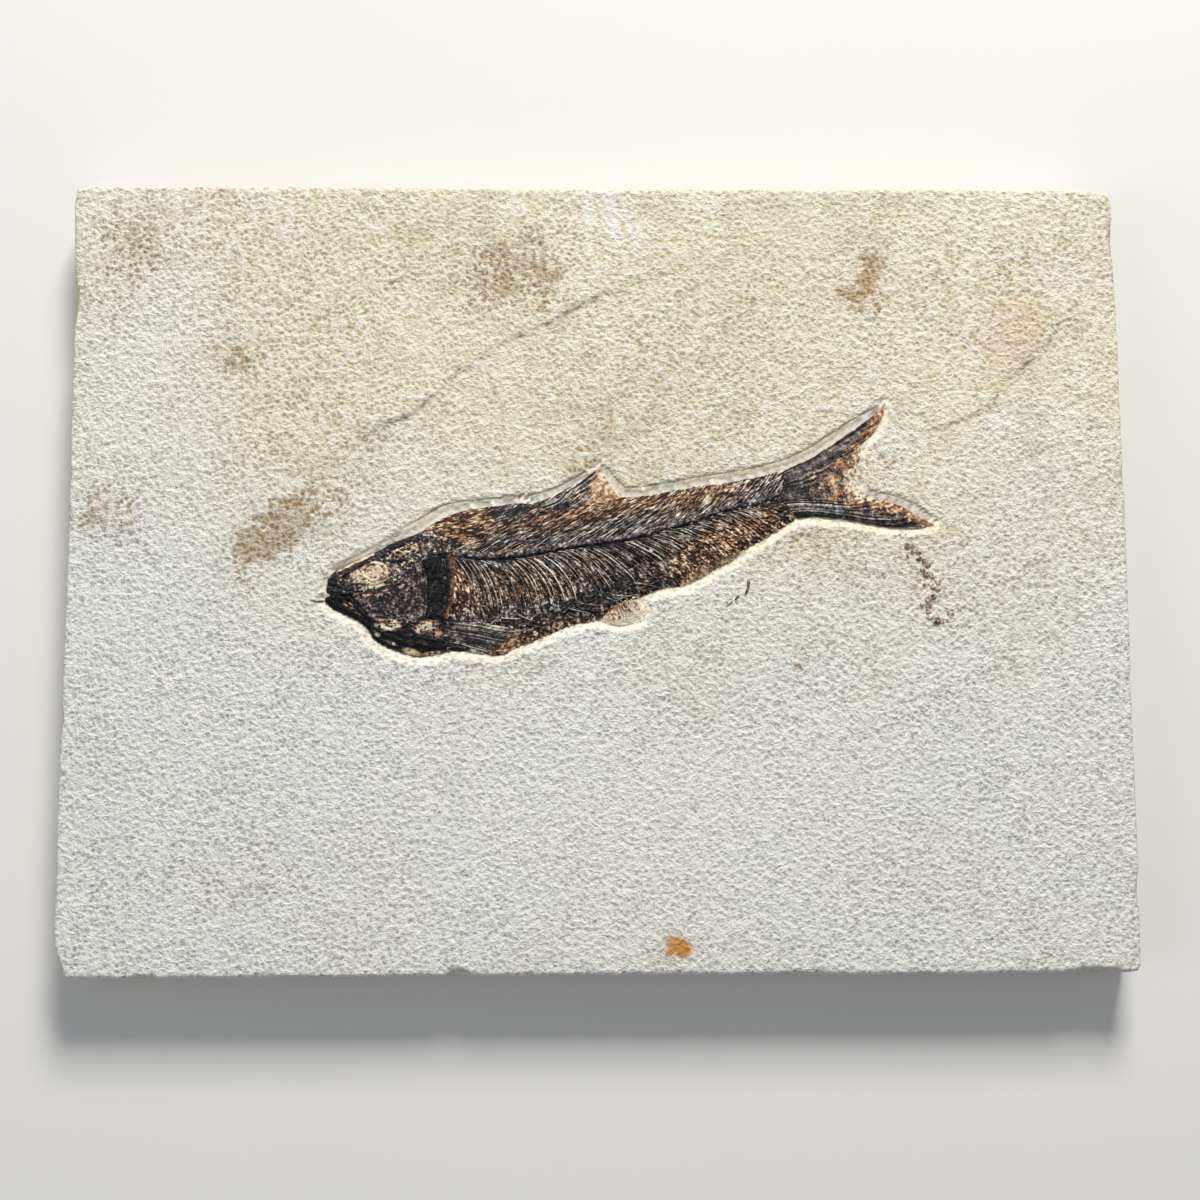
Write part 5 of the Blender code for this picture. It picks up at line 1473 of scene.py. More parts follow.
@dataclass
class LowerJaw(Plate):
    """The lower jaw: two black bars that meet at the chin, with a pale spot between them."""

    plain: Looks = (0.06, 0.85, 0.9)
    strokes: tuple[Stroke, ...] = (
        Stroke(((-56.2, -5.9), (-54.2, -6.9), (-51.6, -8.4), (-49.4, -9.6), (-47.6, -11.2)), 1.1, 0.22, 0.03,
               0.9, 1.0),
        Stroke(((-55.6, -5.2), (-53.4, -5.5), (-51.4, -5.6)), 0.7, 0.20, 0.05, 0.9, 0.95),
        Stroke(((-51.4, -5.4), (-49.8, -7.4), (-47.4, -9.6)), 0.6, 0.14, 0.08, 0.9, 0.8),
    )

    def surface(self, look: Surface, x: Array, y: Array, u: Array, v: Array) -> None:
        """Black bone with fine fibres along it, and the bars."""
        grain = fibres(x, y, -28.0, 0.35, 1.8, 241)
        look.relief += 0.08 * grain
        look.tone += 0.05 * grain
        pale = cover([(-51.6, -6.9, 1.5, 0.75, -28), (-49.6, -8.6, 0.8, 0.5, -30, 0.6)], x, y)
        ragged = smoothstep(-0.05, 0.2, grain + 0.8 * layered(x / 0.8, y / 0.6, 242))
        look.lay(pale * ragged, 0.66, 0.15, 0.4, 0.03)
        look.draw(self.strokes, x, y)


# --- The body ------------------------------------------------------------------------------------


@dataclass
class FlankScales(Plate):
    """The skin of the body: brown and amber scales, streaked by the bones under them."""

    plain: Looks = (0.27, 0.36, 0.42)
    grey_zones: Ovals = (
        (-10, 7.4, 24, 2.6, 8, 0.75), (12, 11.5, 16, 2.4, 12, 0.6), (34, 17, 8, 3.4, 20, 0.8),
        (-4, -6.5, 13, 3.4, 20, 0.8), (-22, -9, 9, 3.4, 8, 0.5), (12, 2.5, 8, 2.4, 18, 0.5),
        (-18, 12.4, 6, 1.6, 8, 0.8), (20, 1.6, 3, 0.9, 10, 0.8), (-33, -11, 3, 1, 0, 0.5),
        (38, 13, 3, 2.4, 0, 0.9),
    )
    amber_zones: Ovals = (
        (-29, 9.4, 8, 3.6, 25, 0.95), (28, 7.4, 12, 4.2, 27, 1.0), (18, 3.6, 7, 3.0, 18, 0.6),
        (-7, -11.0, 8, 1.3, 16, 0.9), (-24, -3, 8, 6, 0, 0.30), (-14.4, -13.4, 3, 1.5, 25, 1.0),
        (-24.6, 5.6, 2.4, 1.2, 0, 0.9), (-6, -1.5, 10, 5, 10, 0.45), (3, -8, 3, 1.4, 20, 0.8),
        (-20, -2, 10, 5, 0, 0.55), (-2, 11, 12, 3, 8, 0.4), (24, 15.5, 10, 2.4, 12, 0.5),
    )
    cream_zones: Ovals = (
        (20.4, -0.6, 4.4, 1.2, 25, 0.8), (30, 4.7, 5, 1.2, 35, 0.7), (36.6, 8.8, 3, 0.8, 33, 0.5),
        (3, 14.4, 4, 1.2, 15, 0.7), (-15.4, 13.6, 1.6, 0.6, 0, 0.8), (-27, 5.4, 4, 2, 10, 0.4),
        (-20, -8, 12, 3, 0, 0.25), (14, -3, 2.6, 0.5, 10, 0.9), (24, 7, 8, 3, 25, 0.3),
        (-3.6, 12.8, 3, 0.8, 10, 0.6), (-9, -11.6, 6, 0.9, 16, 0.8), (-17, -14.4, 2.6, 0.9, 20, 0.9),
    )
    dark_zones: Ovals = (
        (3.4, -3.2, 6.5, 2.4, 14, 0.75), (11.6, -2.2, 1.9, 1.1, 0, 1.0),
        (14.8, -2.3, 1.2, 0.7, 0, 1.0), (-6, -8.4, 9, 1.8, 18, 0.6), (-18, 12.8, 5.6, 1.0, 8, 0.8),
        (-29, 1.8, 3, 0.9, 0, 0.5), (-20, -10.6, 6, 1.2, 4, 0.6), (38.6, 14, 2, 2.4, 20, 0.5),
        (-17, -7.4, 9, 2.0, 6, 0.45), (-1, -5.4, 5, 1.6, 14, 0.4),
    )

    @staticmethod
    def flow(x: Array, y: Array) -> tuple[Array, Array]:
        """Places counted across the strands and along them, both about as long as in the open."""
        root, run = strand(x, y)
        return root * np.where(y > spine_height(x), 0.5, 0.85), run

    def build(self, material: bpy.types.Material) -> bpy.types.Object:
        """Make it, with the flow's places, drawn out along the strands, as the attribute "flow"."""
        piece = super().build(material)
        points = np.empty(3 * len(piece.data.vertices), np.float32)
        piece.data.vertices.foreach_get("co", points)
        x, y, z = points.reshape(-1, 3).T / MM
        across, run = self.flow(x, y)
        write(piece.data, "flow", "FLOAT_VECTOR", np.column_stack([1.4 * across, 0.8 * run, z]) * MM)
        return piece

    def surface(self, look: Surface, x: Array, y: Array, u: Array, v: Array) -> None:
        """Scales, streaks along the strands, and flecks.

        Scales are noise drawn out along the strands. Streaks are noise across the strands, drawn out along
        them. Flecks are the tops of fine noise, and as many as the cream zones ask for.
        """
        root, run = strand(x, y)
        across, _ = self.flow(x, y)
        above = smoothstep(-0.6, 0.6, y - spine_height(x))
        mottle = layered(across / 0.50, run / 1.1, 301)
        broad = layered(x / 3.4, y / 2.4, 302)
        streak = noise(root / 0.42, run / 3.0, 303) * 0.7 + noise(root / 0.9, run / 5.0, 304) * 0.5
        grey, amber, cream, dark = (inked(zone, x, y) for zone in (
            self.grey_zones, self.amber_zones, self.cream_zones, self.dark_zones))
        streaked = 0.30 + 0.70 * np.maximum(grey, 1 - above)
        look.tone += 0.02 + 0.09 * above * smoothstep(-4.0, 14.0, x)
        look.tone += 0.50 * mottle + 0.36 * broad + (0.60 + 0.25 * above) * streak * streaked
        look.tone -= 0.14 * dark
        look.grey += 0.45 * grey + 0.9 * streak * streaked - 0.40 * amber + 0.20 * dark + 0.3 * broad
        look.relief += 0.14 * mottle + 0.09 * broad + 0.24 * streak * streaked
        fleck_noise = layered(across / 0.34, run / 0.9, 305)
        level = 0.36 - 0.26 * cream
        fleck = smoothstep(level, level + 0.14, fleck_noise)
        look.lay((0.6 + 0.35 * above) * fleck, 0.84, 0.25, 0.3, 0.03)
        ember = blots(x, y, 1.1, 0.8, 306, 0.22, 0.40) * (0.35 + 0.65 * amber)
        look.lay(0.7 * ember, 0.42, 0.0, 0.4, 0.02)
        hollow = layered(across / 0.38, run / 1.2, 307)
        hollow = hollow - 0.40 * streak * streaked + 0.16 * dark - 0.22 * amber
        look.lay(0.9 * smoothstep(0.12, 0.26, hollow), 0.02, 0.5, 0.2, -0.10)
        height = y - spine_height(x)
        breaks = smoothstep(0.30, 0.62, 0.5 + 0.5 * np.cos(2 * math.pi * (x - 0.8 * height) / 1.96))
        # Painted shadow: a black, slightly sunk line under the backbone, broken at the vertebrae towards the
        # tail.
        spine_shadow = np.exp(-(((height + 0.12) / (0.55 - 0.12 * smoothstep(0, 20, x))) ** 4))
        spine_shadow *= smoothstep(-31.0, -20.0, x + 2 * broad) * (1 - 0.8 * breaks * smoothstep(0, 14, x))
        look.lay(0.95 * spine_shadow * fall(36, 39, x), 0.0, 0.9, 0.5, -0.12)
        look.lay(np.clip(dark * 1.3 - 0.4, 0, 1), 0.03, 0.8, 0.9, 0.04)
        rim = smoothstep(-0.7, 0.0, FISH.nearest(x, y)[0]) * cream
        look.bare += 0.5 * rim


class Side(Enum):
    """Which side of the backbone a row of bones lies on."""

    BACK = 1
    BELLY = -1


@dataclass
class Backbone:
    """The vertebrae in their row, with ribs below, spines above and the loose strands of the belly."""

    name: str = "backbone_and_ribs"
    vertebrae: int = 35
    first_x: float = -30.5
    last_x: float = 38.0
    column_rows: int = 12
    rib_first_x: float = -29.6
    rib_last_x: float = 32.0
    rib_spacing: float = 1.12
    rib_depths: Line = (
        (-30.0, 9.5), (-24.0, 11.4), (-20.0, 12.0), (-10.0, 10.4), (-4.0, 9.0), (0.0, 8.0), (6.0, 6.4),
        (12.0, 4.6), (18.0, 3.6), (33.0, 2.2),
    )
    points: int = 9

    def build(self, material: bpy.types.Material) -> bpy.types.Object:
        """Make the piece, which stands for the CAD node "backbone_ribs"."""
        shell = Shell()
        self.column(shell)
        self.ribs(shell)
        self.row_of_spines(shell, Side.BACK)
        self.row_of_spines(shell, Side.BELLY)
        self.belly_strands(shell)
        self.splinters(shell)
        return shell.to_object(self.name, "backbone_ribs", material)

    def column(self, shell: Shell) -> None:
        """The vertebrae: a strip whose width and height swell and narrow once for each of them.

        Across it the height follows the square root of 1 - v^2; the lower side is a sunk groove painted dark
        as shadow.
        """
        count = self.vertebrae * 12
        x = np.linspace(self.first_x, self.last_x, count + 1)[None, :]
        v = np.linspace(-1.0, 1.0, self.column_rows + 1)[:, None]
        share = (x - self.first_x) / (self.last_x - self.first_x)
        phase = 2 * math.pi * (x - 0.3 * v) / ((self.last_x - self.first_x) / self.vertebrae)
        bead = 0.5 + 0.5 * np.cos(phase)
        clear = 0.35 + 0.65 * smoothstep(-22.0, 8.0, x)
        half = (0.80 - 0.22 * share) * (1 - 0.16 * bead * clear)
        slope = np.gradient(spine_height(x[0]), x[0])[None, :]
        offset = 1.05 - 0.20 * share + v * half
        px = x - slope * offset + 0.08 * noise(x / 1.1, v * 2, 321)
        py = spine_height(x) + offset + 0.08 * noise(x / 1.1, v * 2, 322)
        relief = 0.26 * np.sqrt(np.maximum(1 - v * v, 0.0)) * (1 - 0.25 * bead * clear)
        grain = layered(px / 0.6, py / 0.5, 323)
        # Painted shadow along the column's lower side, over a sunk groove.
        groove = fall(-0.75, -0.35, v) * (0.4 + 0.6 * bead * clear)
        look = Surface(px.shape, 0.34, 0.80, 0.5)
        look.relief += relief + 0.09 * grain
        look.tone += 0.60 * grain + 0.05 * smoothstep(0.0, 0.8, v)
        look.grey += 0.45 * layered(px / 2.5, py / 1.2, 325)
        look.lay(0.95 * groove, 0.0, 0.9, 0.5, -0.16)
        z = skin_height(px, py) + 0.10 + look.relief
        top = np.stack([px, py, z], axis=-1)
        rim_z = z.reshape(-1)[rim_of(np.arange(z.size).reshape(z.shape))] - 0.45
        shell.add_sheet(top, look.masks(), rim_z)

    def ribs(self, shell: Shell) -> None:
        """The ribs, each with a thinner partner beside it, dark as painted shadow: x = root + run(depth),
        depth evenly spaced.
        """
        rng = np.random.default_rng(7)
        roots = np.arange(self.rib_first_x, self.rib_last_x, self.rib_spacing)
        for offset, thick, reach in ((0.0, 1.0, 1.0), (0.38, 0.72, 0.86)):
            root = (roots + offset + 0.16 * rng.standard_normal(len(roots)))[:, None]
            depth = along(self.rib_depths, root) * reach * rng.uniform(0.80, 1.06, root.shape)
            t = 0.45 + np.linspace(0.0, 1.0, self.points)[None, :] * (depth - 0.45)
            x = root + rib_run(t, root) + 0.25 * rng.standard_normal(root.shape) * (t / depth) ** 2
            y = spine_height(x) - t
            thin = np.linspace(1.0, 0.58, self.points)[None, :] * (1 - 0.35 * smoothstep(8.0, 26.0, root))
            radii = 0.175 * thick * thin * rng.uniform(0.8, 1.15, root.shape)
            # The partner's dark tone is painted shadow beside its rib.
            tone = np.clip(rng.normal(0.62 if thick == 1.0 else 0.10, 0.16, len(roots)), 0.0, 0.9)
            look = strand_looks(tone, rng.uniform(0.6, 1.0, len(roots)), 0.75)
            lay_strands(shell, x, y, radii, look, 0.02)

    def row_of_spines(self, shell: Shell, side: Side) -> None:
        """Fine bones along one side of the backbone, each a shallow curve that leans to the tail."""
        rng = np.random.default_rng(11 if side is Side.BACK else 12)
        roots = np.arange(-28.0, 37.0, 0.85)
        root = (roots + 0.2 * rng.standard_normal(len(roots)))[:, None]
        lean = lean_above(root) + 4.0 * rng.standard_normal(root.shape)
        length = np.interp(root, [-28, -10, 5, 20, 37], [7.0, 7.0, 6.0, 4.6, 3.0])
        length = length * rng.uniform(0.5, 1.1, root.shape)
        if side is Side.BELLY:
            lean, length = 0.55 * lean, 0.7 * length
        lean = np.radians(lean)
        t = np.linspace(0.0, 1.0, self.points)[None, :] * length
        bend = 0.03 * t**2
        x = root + np.cos(lean) * t
        rise = np.sin(lean) * t + (bend if side is Side.BELLY else -0.3 * bend)
        if side is Side.BELLY:
            y = spine_height(x) - rise
        else:
            y = spine_height(root) + rise + 1.2
            y += 0.18 * (x - root)
        radii = (0.12 if side is Side.BACK else 0.09) * np.linspace(1.0, 0.5, self.points)[None, :]
        radii = radii * rng.uniform(0.7, 1.2, root.shape)
        tone = np.clip(rng.normal(0.42, 0.24, len(roots)), 0.0, 0.9)
        lay_strands(shell, x, y, radii, strand_looks(tone, rng.uniform(0.5, 1.0, len(roots)), 0.6))

    def belly_strands(self, shell: Shell) -> None:
        """Loose strands along the belly: most lie flat towards the tail, and a few cross them."""
        rng = np.random.default_rng(13)
        count = 34
        start_x = rng.uniform(-24.0, 9.0, count)[:, None]
        low = along([(-24, -11.5), (-14, -10.0), (-4, -7.2), (2, -6.0), (9, -3.4)], start_x)
        start_y = low + rng.uniform(-1.6, 1.6, start_x.shape)
        turn = np.radians(np.where(rng.random(start_x.shape) < 0.8, rng.uniform(-26, -4, start_x.shape),
                                   rng.uniform(20, 48, start_x.shape)))
        t = np.linspace(0.0, 1.0, self.points)[None, :] * rng.uniform(2.5, 7.0, start_x.shape)
        x = start_x + np.cos(turn) * t
        y = start_y + np.sin(turn) * t + 0.02 * t**2
        edge = along(joined(BELLY_FRONT, PELVIC_ROOT, BELLY_MIDDLE), x)
        y = np.maximum(y, edge + 0.7)
        radii = 0.17 * np.linspace(1.0, 0.4, self.points)[None, :] * rng.uniform(0.6, 1.1, start_x.shape)
        tone = rng.uniform(0.05, 0.75, count)
        lay_strands(shell, x, y, radii, strand_looks(tone, rng.uniform(0.7, 1.0, count), 0.8), 0.08)

    def splinters(self, shell: Shell) -> None:
        """A splinter of bone that sticks out in front of the snout, on the face of the stone."""
        x = np.linspace(-56.7, -59.4, self.points)[None, :]
        y = -6.0 + 0.12 * np.sin(x * 2.2)
        z = np.minimum(11.35 - 56.7 - x, FACE_Z + 0.12)
        radii = 0.20 * np.linspace(1.0, 0.4, self.points)[None, :]
        shell.add_tubes(np.stack([x, y, z], axis=-1), radii, (0.30, 0.1, 0.4, 0.0))


# --- The fins ------------------------------------------------------------------------------------


def fan(count: int, points: int, first: tuple[float, float], last: tuple[float, float],
        ends: tuple[float, float, float, float]) -> tuple[Array, Array]:
    """Fractions (u, v) for a fan of rays on a plate.

    Ray k starts at first + k (last - first) and ends between ends[:2] and ends[2:], all evenly spaced.

    Returns:
        u and v, both (count, points).
    """
    share = np.linspace(0.0, 1.0, count)[:, None]
    t = np.linspace(0.0, 1.0, points)[None, :]
    start = [first[k] + share * (last[k] - first[k]) for k in (0, 1)]
    end = [ends[k] + share * (ends[k + 2] - ends[k]) for k in (0, 1)]
    u, v = (a + (b - a) * t for a, b in zip(start, end))
    return u, v


@dataclass
class DorsalFin(Plate):
    """The fin on the back: grey rays along its front, and golden, broken membrane behind them."""

    plain: Looks = (0.40, 0.35, 0.45)

    def surface(self, look: Surface, x: Array, y: Array, u: Array, v: Array) -> None:
        """Ridges that fan about a point behind the shoulder, dark in front and pale gold behind."""
        turn = np.degrees(np.arctan2(y - 6.5, x + 21.5))
        reach = np.hypot(y - 6.5, x + 21.5)
        rays = noise(turn / 1.15, reach / 7.0, 401)
        grain = layered(x / 0.7, y / 0.6, 402)
        rear = smoothstep(-0.5, 1.2, 0.42 * (x + 4.0) - 0.15 * (y - 14.0) + 0.3 * grain)
        look.relief += 0.10 * rays * (1 - 0.6 * rear) + 0.05 * grain
        look.tone += (1.2 * rays + 0.35 * grain) * (1 - rear) - 0.05
        look.grey += 0.30 * (1 - rear) + 0.30 * (1 - rear) * smoothstep(-0.3, 0.3, -rays)
        look.lay(0.9 * rear, 0.70, 0.30, 0.35)
        brown = blots(x, y, 1.0, 0.8, 403, -0.02, 0.25) * rear
        look.lay(0.75 * brown, 0.42, 0.1, 0.4, 0.03)
        cream = blots(x, y, 0.8, 0.7, 404, 0.22, 0.45)
        look.lay(0.8 * cream * (0.3 + 0.7 * rear), 0.86, 0.05, 0.3)
        root = fall(0.05, 0.30, v)
        look.lay(root * (1 - rear), 0.30, 0.5, 0.4)
        look.bare += 0.35 * cream * rear

    def strands(self, shell: Shell) -> None:
        """Eleven rays along its front."""
        u, v = fan(11, 9, (0.02, 0.25), (0.46, 0.02), (0.30, 0.97, 0.84, 0.55))
        radii = 0.20 * np.linspace(1.0, 0.45, 9)[None, :] * np.linspace(1.0, 0.7, 11)[:, None]
        self.rays(shell, u, v, radii, (0.40, 0.8, 0.7), 21)


@dataclass
class TailFin(Plate):
    """The forked tail: dark rays spread into two lobes, amber towards their tips and the fork."""

    plain: Looks = (0.30, 0.66, 0.55)

    def surface(self, look: Surface, x: Array, y: Array, u: Array, v: Array) -> None:
        """Ridges along the rays, which keep to one v each, with amber broken membrane past them."""
        outer = np.abs(v - 0.5) * 2
        rays = np.cos(2 * math.pi * (17.0 * v + 0.25 * noise(x / 5, y / 3, 411)))
        grain = layered(x / 0.7, y / 0.55, 412)
        broad = layered(x / 2.6, y / 1.8, 413)
        look.relief += 0.09 * rays * smoothstep(0.05, 0.3, outer) + 0.05 * grain + 0.05 * broad
        look.tone += 0.27 * rays * smoothstep(0.05, 0.3, outer) + 0.25 * grain
        solid = 0.46 + 0.46 * outer + 0.10 * broad
        upper = smoothstep(0.5, 0.75, v)
        solid -= 0.10 * upper
        brown = smoothstep(-0.10, 0.10, u - solid)
        look.lay(brown, 0.37, 0.34, 0.4)
        look.tone += brown * (0.30 * grain + 0.22 * broad)
        look.grey -= 0.8 * brown * broad
        trailing = upper * smoothstep(0.35, 0.75, u) * fall(0.86, 0.97, v)
        look.lay(0.6 * trailing * smoothstep(-0.3, 0.2, broad), 0.46, 0.0, 0.4)
        fleck = smoothstep(0.28, 0.46, layered(x / 0.85, y / 0.62, 414) + 0.25 * smoothstep(0.7, 1.0, u)
                           * (1 - 0.5 * outer) - 0.3 * (1 - brown))
        look.lay(0.9 * fleck, 0.78, 0.05, 0.3, 0.02)
        middle = fall(0.15, 0.55, outer) * smoothstep(0.50, 1.0, u)
        look.tone += 0.20 * middle
        look.bare += 0.60 * middle * smoothstep(-0.2, 0.2, broad + 0.6 * grain)
        tip = smoothstep(0.86, 0.99, u) * smoothstep(0.55, 0.9, outer)
        look.lay(0.7 * tip, 0.62, 0.02, 0.35)
        dark_root = fall(0.0, 0.35, u) * smoothstep(-0.3, 0.3, grain + 0.2)
        look.lay(0.6 * dark_root, 0.08, 0.85, 0.7, 0.03)

    def strands(self, shell: Shell) -> None:
        """Rays along both lobes, from the root to where the membrane breaks up."""
        for low, high, seed in ((0.015, 0.27, 22), (0.73, 0.985, 23)):
            share = np.linspace(0.0, 1.0, 13)[:, None]
            v = low + (high - low) * share
            reach = (0.92 - 0.30 * share) if seed == 22 else (0.50 + 0.34 * share)
            u = np.linspace(0.02, 1.0, 9)[None, :] * reach
            root = 0.5 + (v - 0.5) * 0.86
            v = root + (v - root) * smoothstep(0.0, 0.5, u)
            radii = 0.15 * np.linspace(1.0, 0.5, 9)[None, :] * np.ones((13, 1))
            self.rays(shell, u, v, radii, (0.38, 0.92, 0.7), seed)


@dataclass
class PectoralFin(Plate):
    """The fin behind the throat: a sheaf of grey strands, with amber membrane at its rear."""

    plain: Looks = (0.20, 0.85, 0.6)

    def surface(self, look: Surface, x: Array, y: Array, u: Array, v: Array) -> None:
        """Ridges along the sheaf; the rear third is amber and broken."""
        grain = layered(x / 0.7, y / 0.6, 422)
        rays = noise(v * 13 + 0.3 * grain, u * 3.5, 421)
        look.relief += 0.16 * rays + 0.07 * grain
        look.tone += 1.1 * rays + 0.40 * grain
        near, _ = cells(x / 1.5, y / 0.9, 423)
        lumps = fall(0.08, 0.30, u)
        look.lay(lumps * fall(0.25, 0.55, near), 0.05, 0.9, 0.9, 0.10)
        amber = smoothstep(0.48, 0.74, u + 0.22 * (0.5 - v) + 0.14 * grain)
        look.lay(0.9 * amber, 0.50, 0.02, 0.4)
        look.tone += amber * 0.18 * layered(x / 0.8, y / 0.6, 424)
        cream = blots(x, y, 0.8, 0.6, 425, 0.25, 0.45) * (0.15 + 0.85 * amber)
        look.lay(0.9 * cream, 0.80, 0.08, 0.3)

    def strands(self, shell: Shell) -> None:
        """Sixteen strands that spread a little towards the tail."""
        u, v = fan(16, 9, (0.05, 0.30), (0.10, 0.93), (0.66, 0.04, 0.96, 0.92))
        radii = 0.19 * np.linspace(1.0, 0.5, 9)[None, :] * np.ones((16, 1))
        self.rays(shell, u, v, radii, (0.34, 0.9, 0.75), 24)


@dataclass
class PelvicFin(Plate):
    """The small belly fin: a brown fan at its root, pale beyond."""

    plain: Looks = (0.92, 0.08, 0.25)

    def surface(self, look: Surface, x: Array, y: Array, u: Array, v: Array) -> None:
        """Fine ridges about the root; brown flecks thin out away from it."""
        turn = np.arctan2(y + 3.0, x - 0.5)
        reach = np.hypot(y + 3.0, x - 0.5)
        rays = noise(turn * 12, reach / 4, 431)
        grain = layered(x / 0.8, y / 0.6, 432)
        look.relief += 0.05 * rays + 0.06 * grain - 0.12
        look.tone += 0.30 * grain + 0.20 * rays
        rooted = fall(2.6, 8.6, reach)
        mixed = 0.5 * grain + 0.35 * rays + 0.50 * rooted + 0.3 * layered(x / 0.5, y / 0.5, 433)
        brown = smoothstep(0.02, 0.26, mixed)
        look.bare += 0.92 * (1 - rooted)
        look.lay(0.85 * brown, 0.42, 0.15, 0.35, 0.05)
        look.bare *= 1 - 0.8 * brown
        edge = Stroke(((0.2, -10.4), (3.4, -11.2), (6.6, -10.9), (9.0, -10.1)), 0.24, 0.06, 0.28, 0.4, 0.4)
        look.draw([edge], x, y)

    def strands(self, shell: Shell) -> None:
        """Nine short rays."""
        u, v = fan(9, 7, (0.10, 0.95), (0.80, 0.90), (0.42, 0.25, 0.92, 0.62))
        radii = 0.09 * np.linspace(1.0, 0.5, 7)[None, :] * np.ones((9, 1))
        self.rays(shell, u, v, radii, (0.40, 0.1, 0.4), 25)


@dataclass
class AnalFin(Plate):
    """The low fin under the tail stalk: thin amber membrane with a few dark rays."""

    plain: Looks = (0.62, 0.04, 0.3)

    def surface(self, look: Surface, x: Array, y: Array, u: Array, v: Array) -> None:
        """Amber and cream flecks, darker towards the root."""
        grain = layered(x / 0.8, y / 0.6, 441)
        rays = noise((x + 0.8 * y) / 0.5, y / 4, 442)
        look.relief += 0.05 * grain + 0.05 * rays - 0.06
        look.tone += 0.12 * grain + 0.08 * rays - 0.22 * smoothstep(0.4, 1.0, v)
        cream = blots(x, y, 1.1, 0.7, 443, 0.0, 0.3) * fall(0.5, 1.0, v)
        look.lay(0.9 * cream, 0.86, 0.05, 0.3)
        look.bare += 0.4 * cream

    def strands(self, shell: Shell) -> None:
        """Twelve short rays that lean back."""
        u, v = fan(12, 7, (0.04, 1.0), (0.86, 1.0), (0.14, 0.18, 0.97, 0.2))
        radii = 0.11 * np.linspace(1.0, 0.45, 7)[None, :] * np.ones((12, 1))
        self.rays(shell, u, v, radii, (0.22, 0.6, 0.5), 26)


# --- Small fossils on the face -------------------------------------------------------------------


@dataclass
class Droppings:
    """The trail of small round droppings under the tail."""

    name: str = "dropping_trail_pellets"
    pellets: tuple[tuple[float, float, float], ...] = (
        (64.3, 5.1, 0.62), (65.4, 5.3, 0.50), (66.5, 4.0, 0.62), (65.3, 4.0, 0.45), (64.3, 3.1, 0.40),
        (66.6, 2.6, 0.55), (67.8, 2.1, 0.60), (68.4, 1.2, 0.55), (67.3, 0.2, 0.50), (68.0, -0.8, 0.62),
        (69.3, -1.0, 0.60), (70.4, -2.3, 0.62), (67.6, -2.9, 0.35), (69.5, -3.3, 0.60), (70.4, -3.7, 0.60),
        (69.5, -5.4, 0.58), (68.4, -6.0, 0.66), (67.1, -7.0, 0.50), (68.4, -7.2, 0.66), (68.3, -8.5, 0.60),
        (68.6, -9.6, 0.66), (69.9, -10.5, 0.80), (72.3, -10.3, 0.42), (72.4, -8.9, 0.36), (73.3, -9.1, 0.34),
        (71.2, -10.6, 0.40),
    )
    rings: int = 8
    sides: int = 14

    def build(self, material: bpy.types.Material) -> bpy.types.Object:
        """Make the pellets: domes with lumpy radii, let into the face of the stone."""
        shell = Shell()
        up = np.linspace(0.5 * math.pi, -0.30 * math.pi, self.rings + 1)[1:]
        round_ = np.linspace(0.0, 2 * math.pi, self.sides, endpoint=False)
        a, b = np.meshgrid(round_, up)
        index = np.arange(self.rings * self.sides).reshape(self.rings, self.sides) + 1
        for k, (x, y, radius) in enumerate(self.pellets):
            bumps = noise(np.cos(a) * 1.6 + 9 * k, np.sin(a) * 1.6 + 2 * b, 500 + k)
            lump = 1.1 * radius * (1 + 0.16 * bumps)
            px, py = x + lump * np.cos(b) * np.cos(a), y + lump * np.cos(b) * np.sin(a) * 0.92
            pz = FACE_Z + 0.12 + 0.45 * lump * np.sin(b)
            points = np.concatenate([[[x, y, FACE_Z + 0.12 + 0.45 * radius]],
                                     np.stack([px, py, pz], axis=-1).reshape(-1, 3)])
            quads = np.stack([index[1:], np.roll(index[1:], -1, axis=1), np.roll(index[:-1], -1, axis=1),
                              index[:-1]], axis=-1).reshape(-1, 4)
            cap = [[0, int(i), int(j)] for i, j in zip(index[0], np.roll(index[0], -1))]
            tone = 0.72 + 0.34 * noise(points[:, 0] / 0.5, points[:, 1] / 0.5, 520)
            tone -= 0.14 * (k % 3 == 0) + 0.20 * (radius > 0.7)
            masks = np.column_stack([np.clip(tone, 0, 1), np.full(len(points), 0.62),
                                     np.full(len(points), 0.35), np.zeros(len(points))])
            shell.add(points, quads, [*cap, [int(i) for i in index[-1][::-1]]], masks)
        return shell.to_object(self.name, "dropping_trail", material)


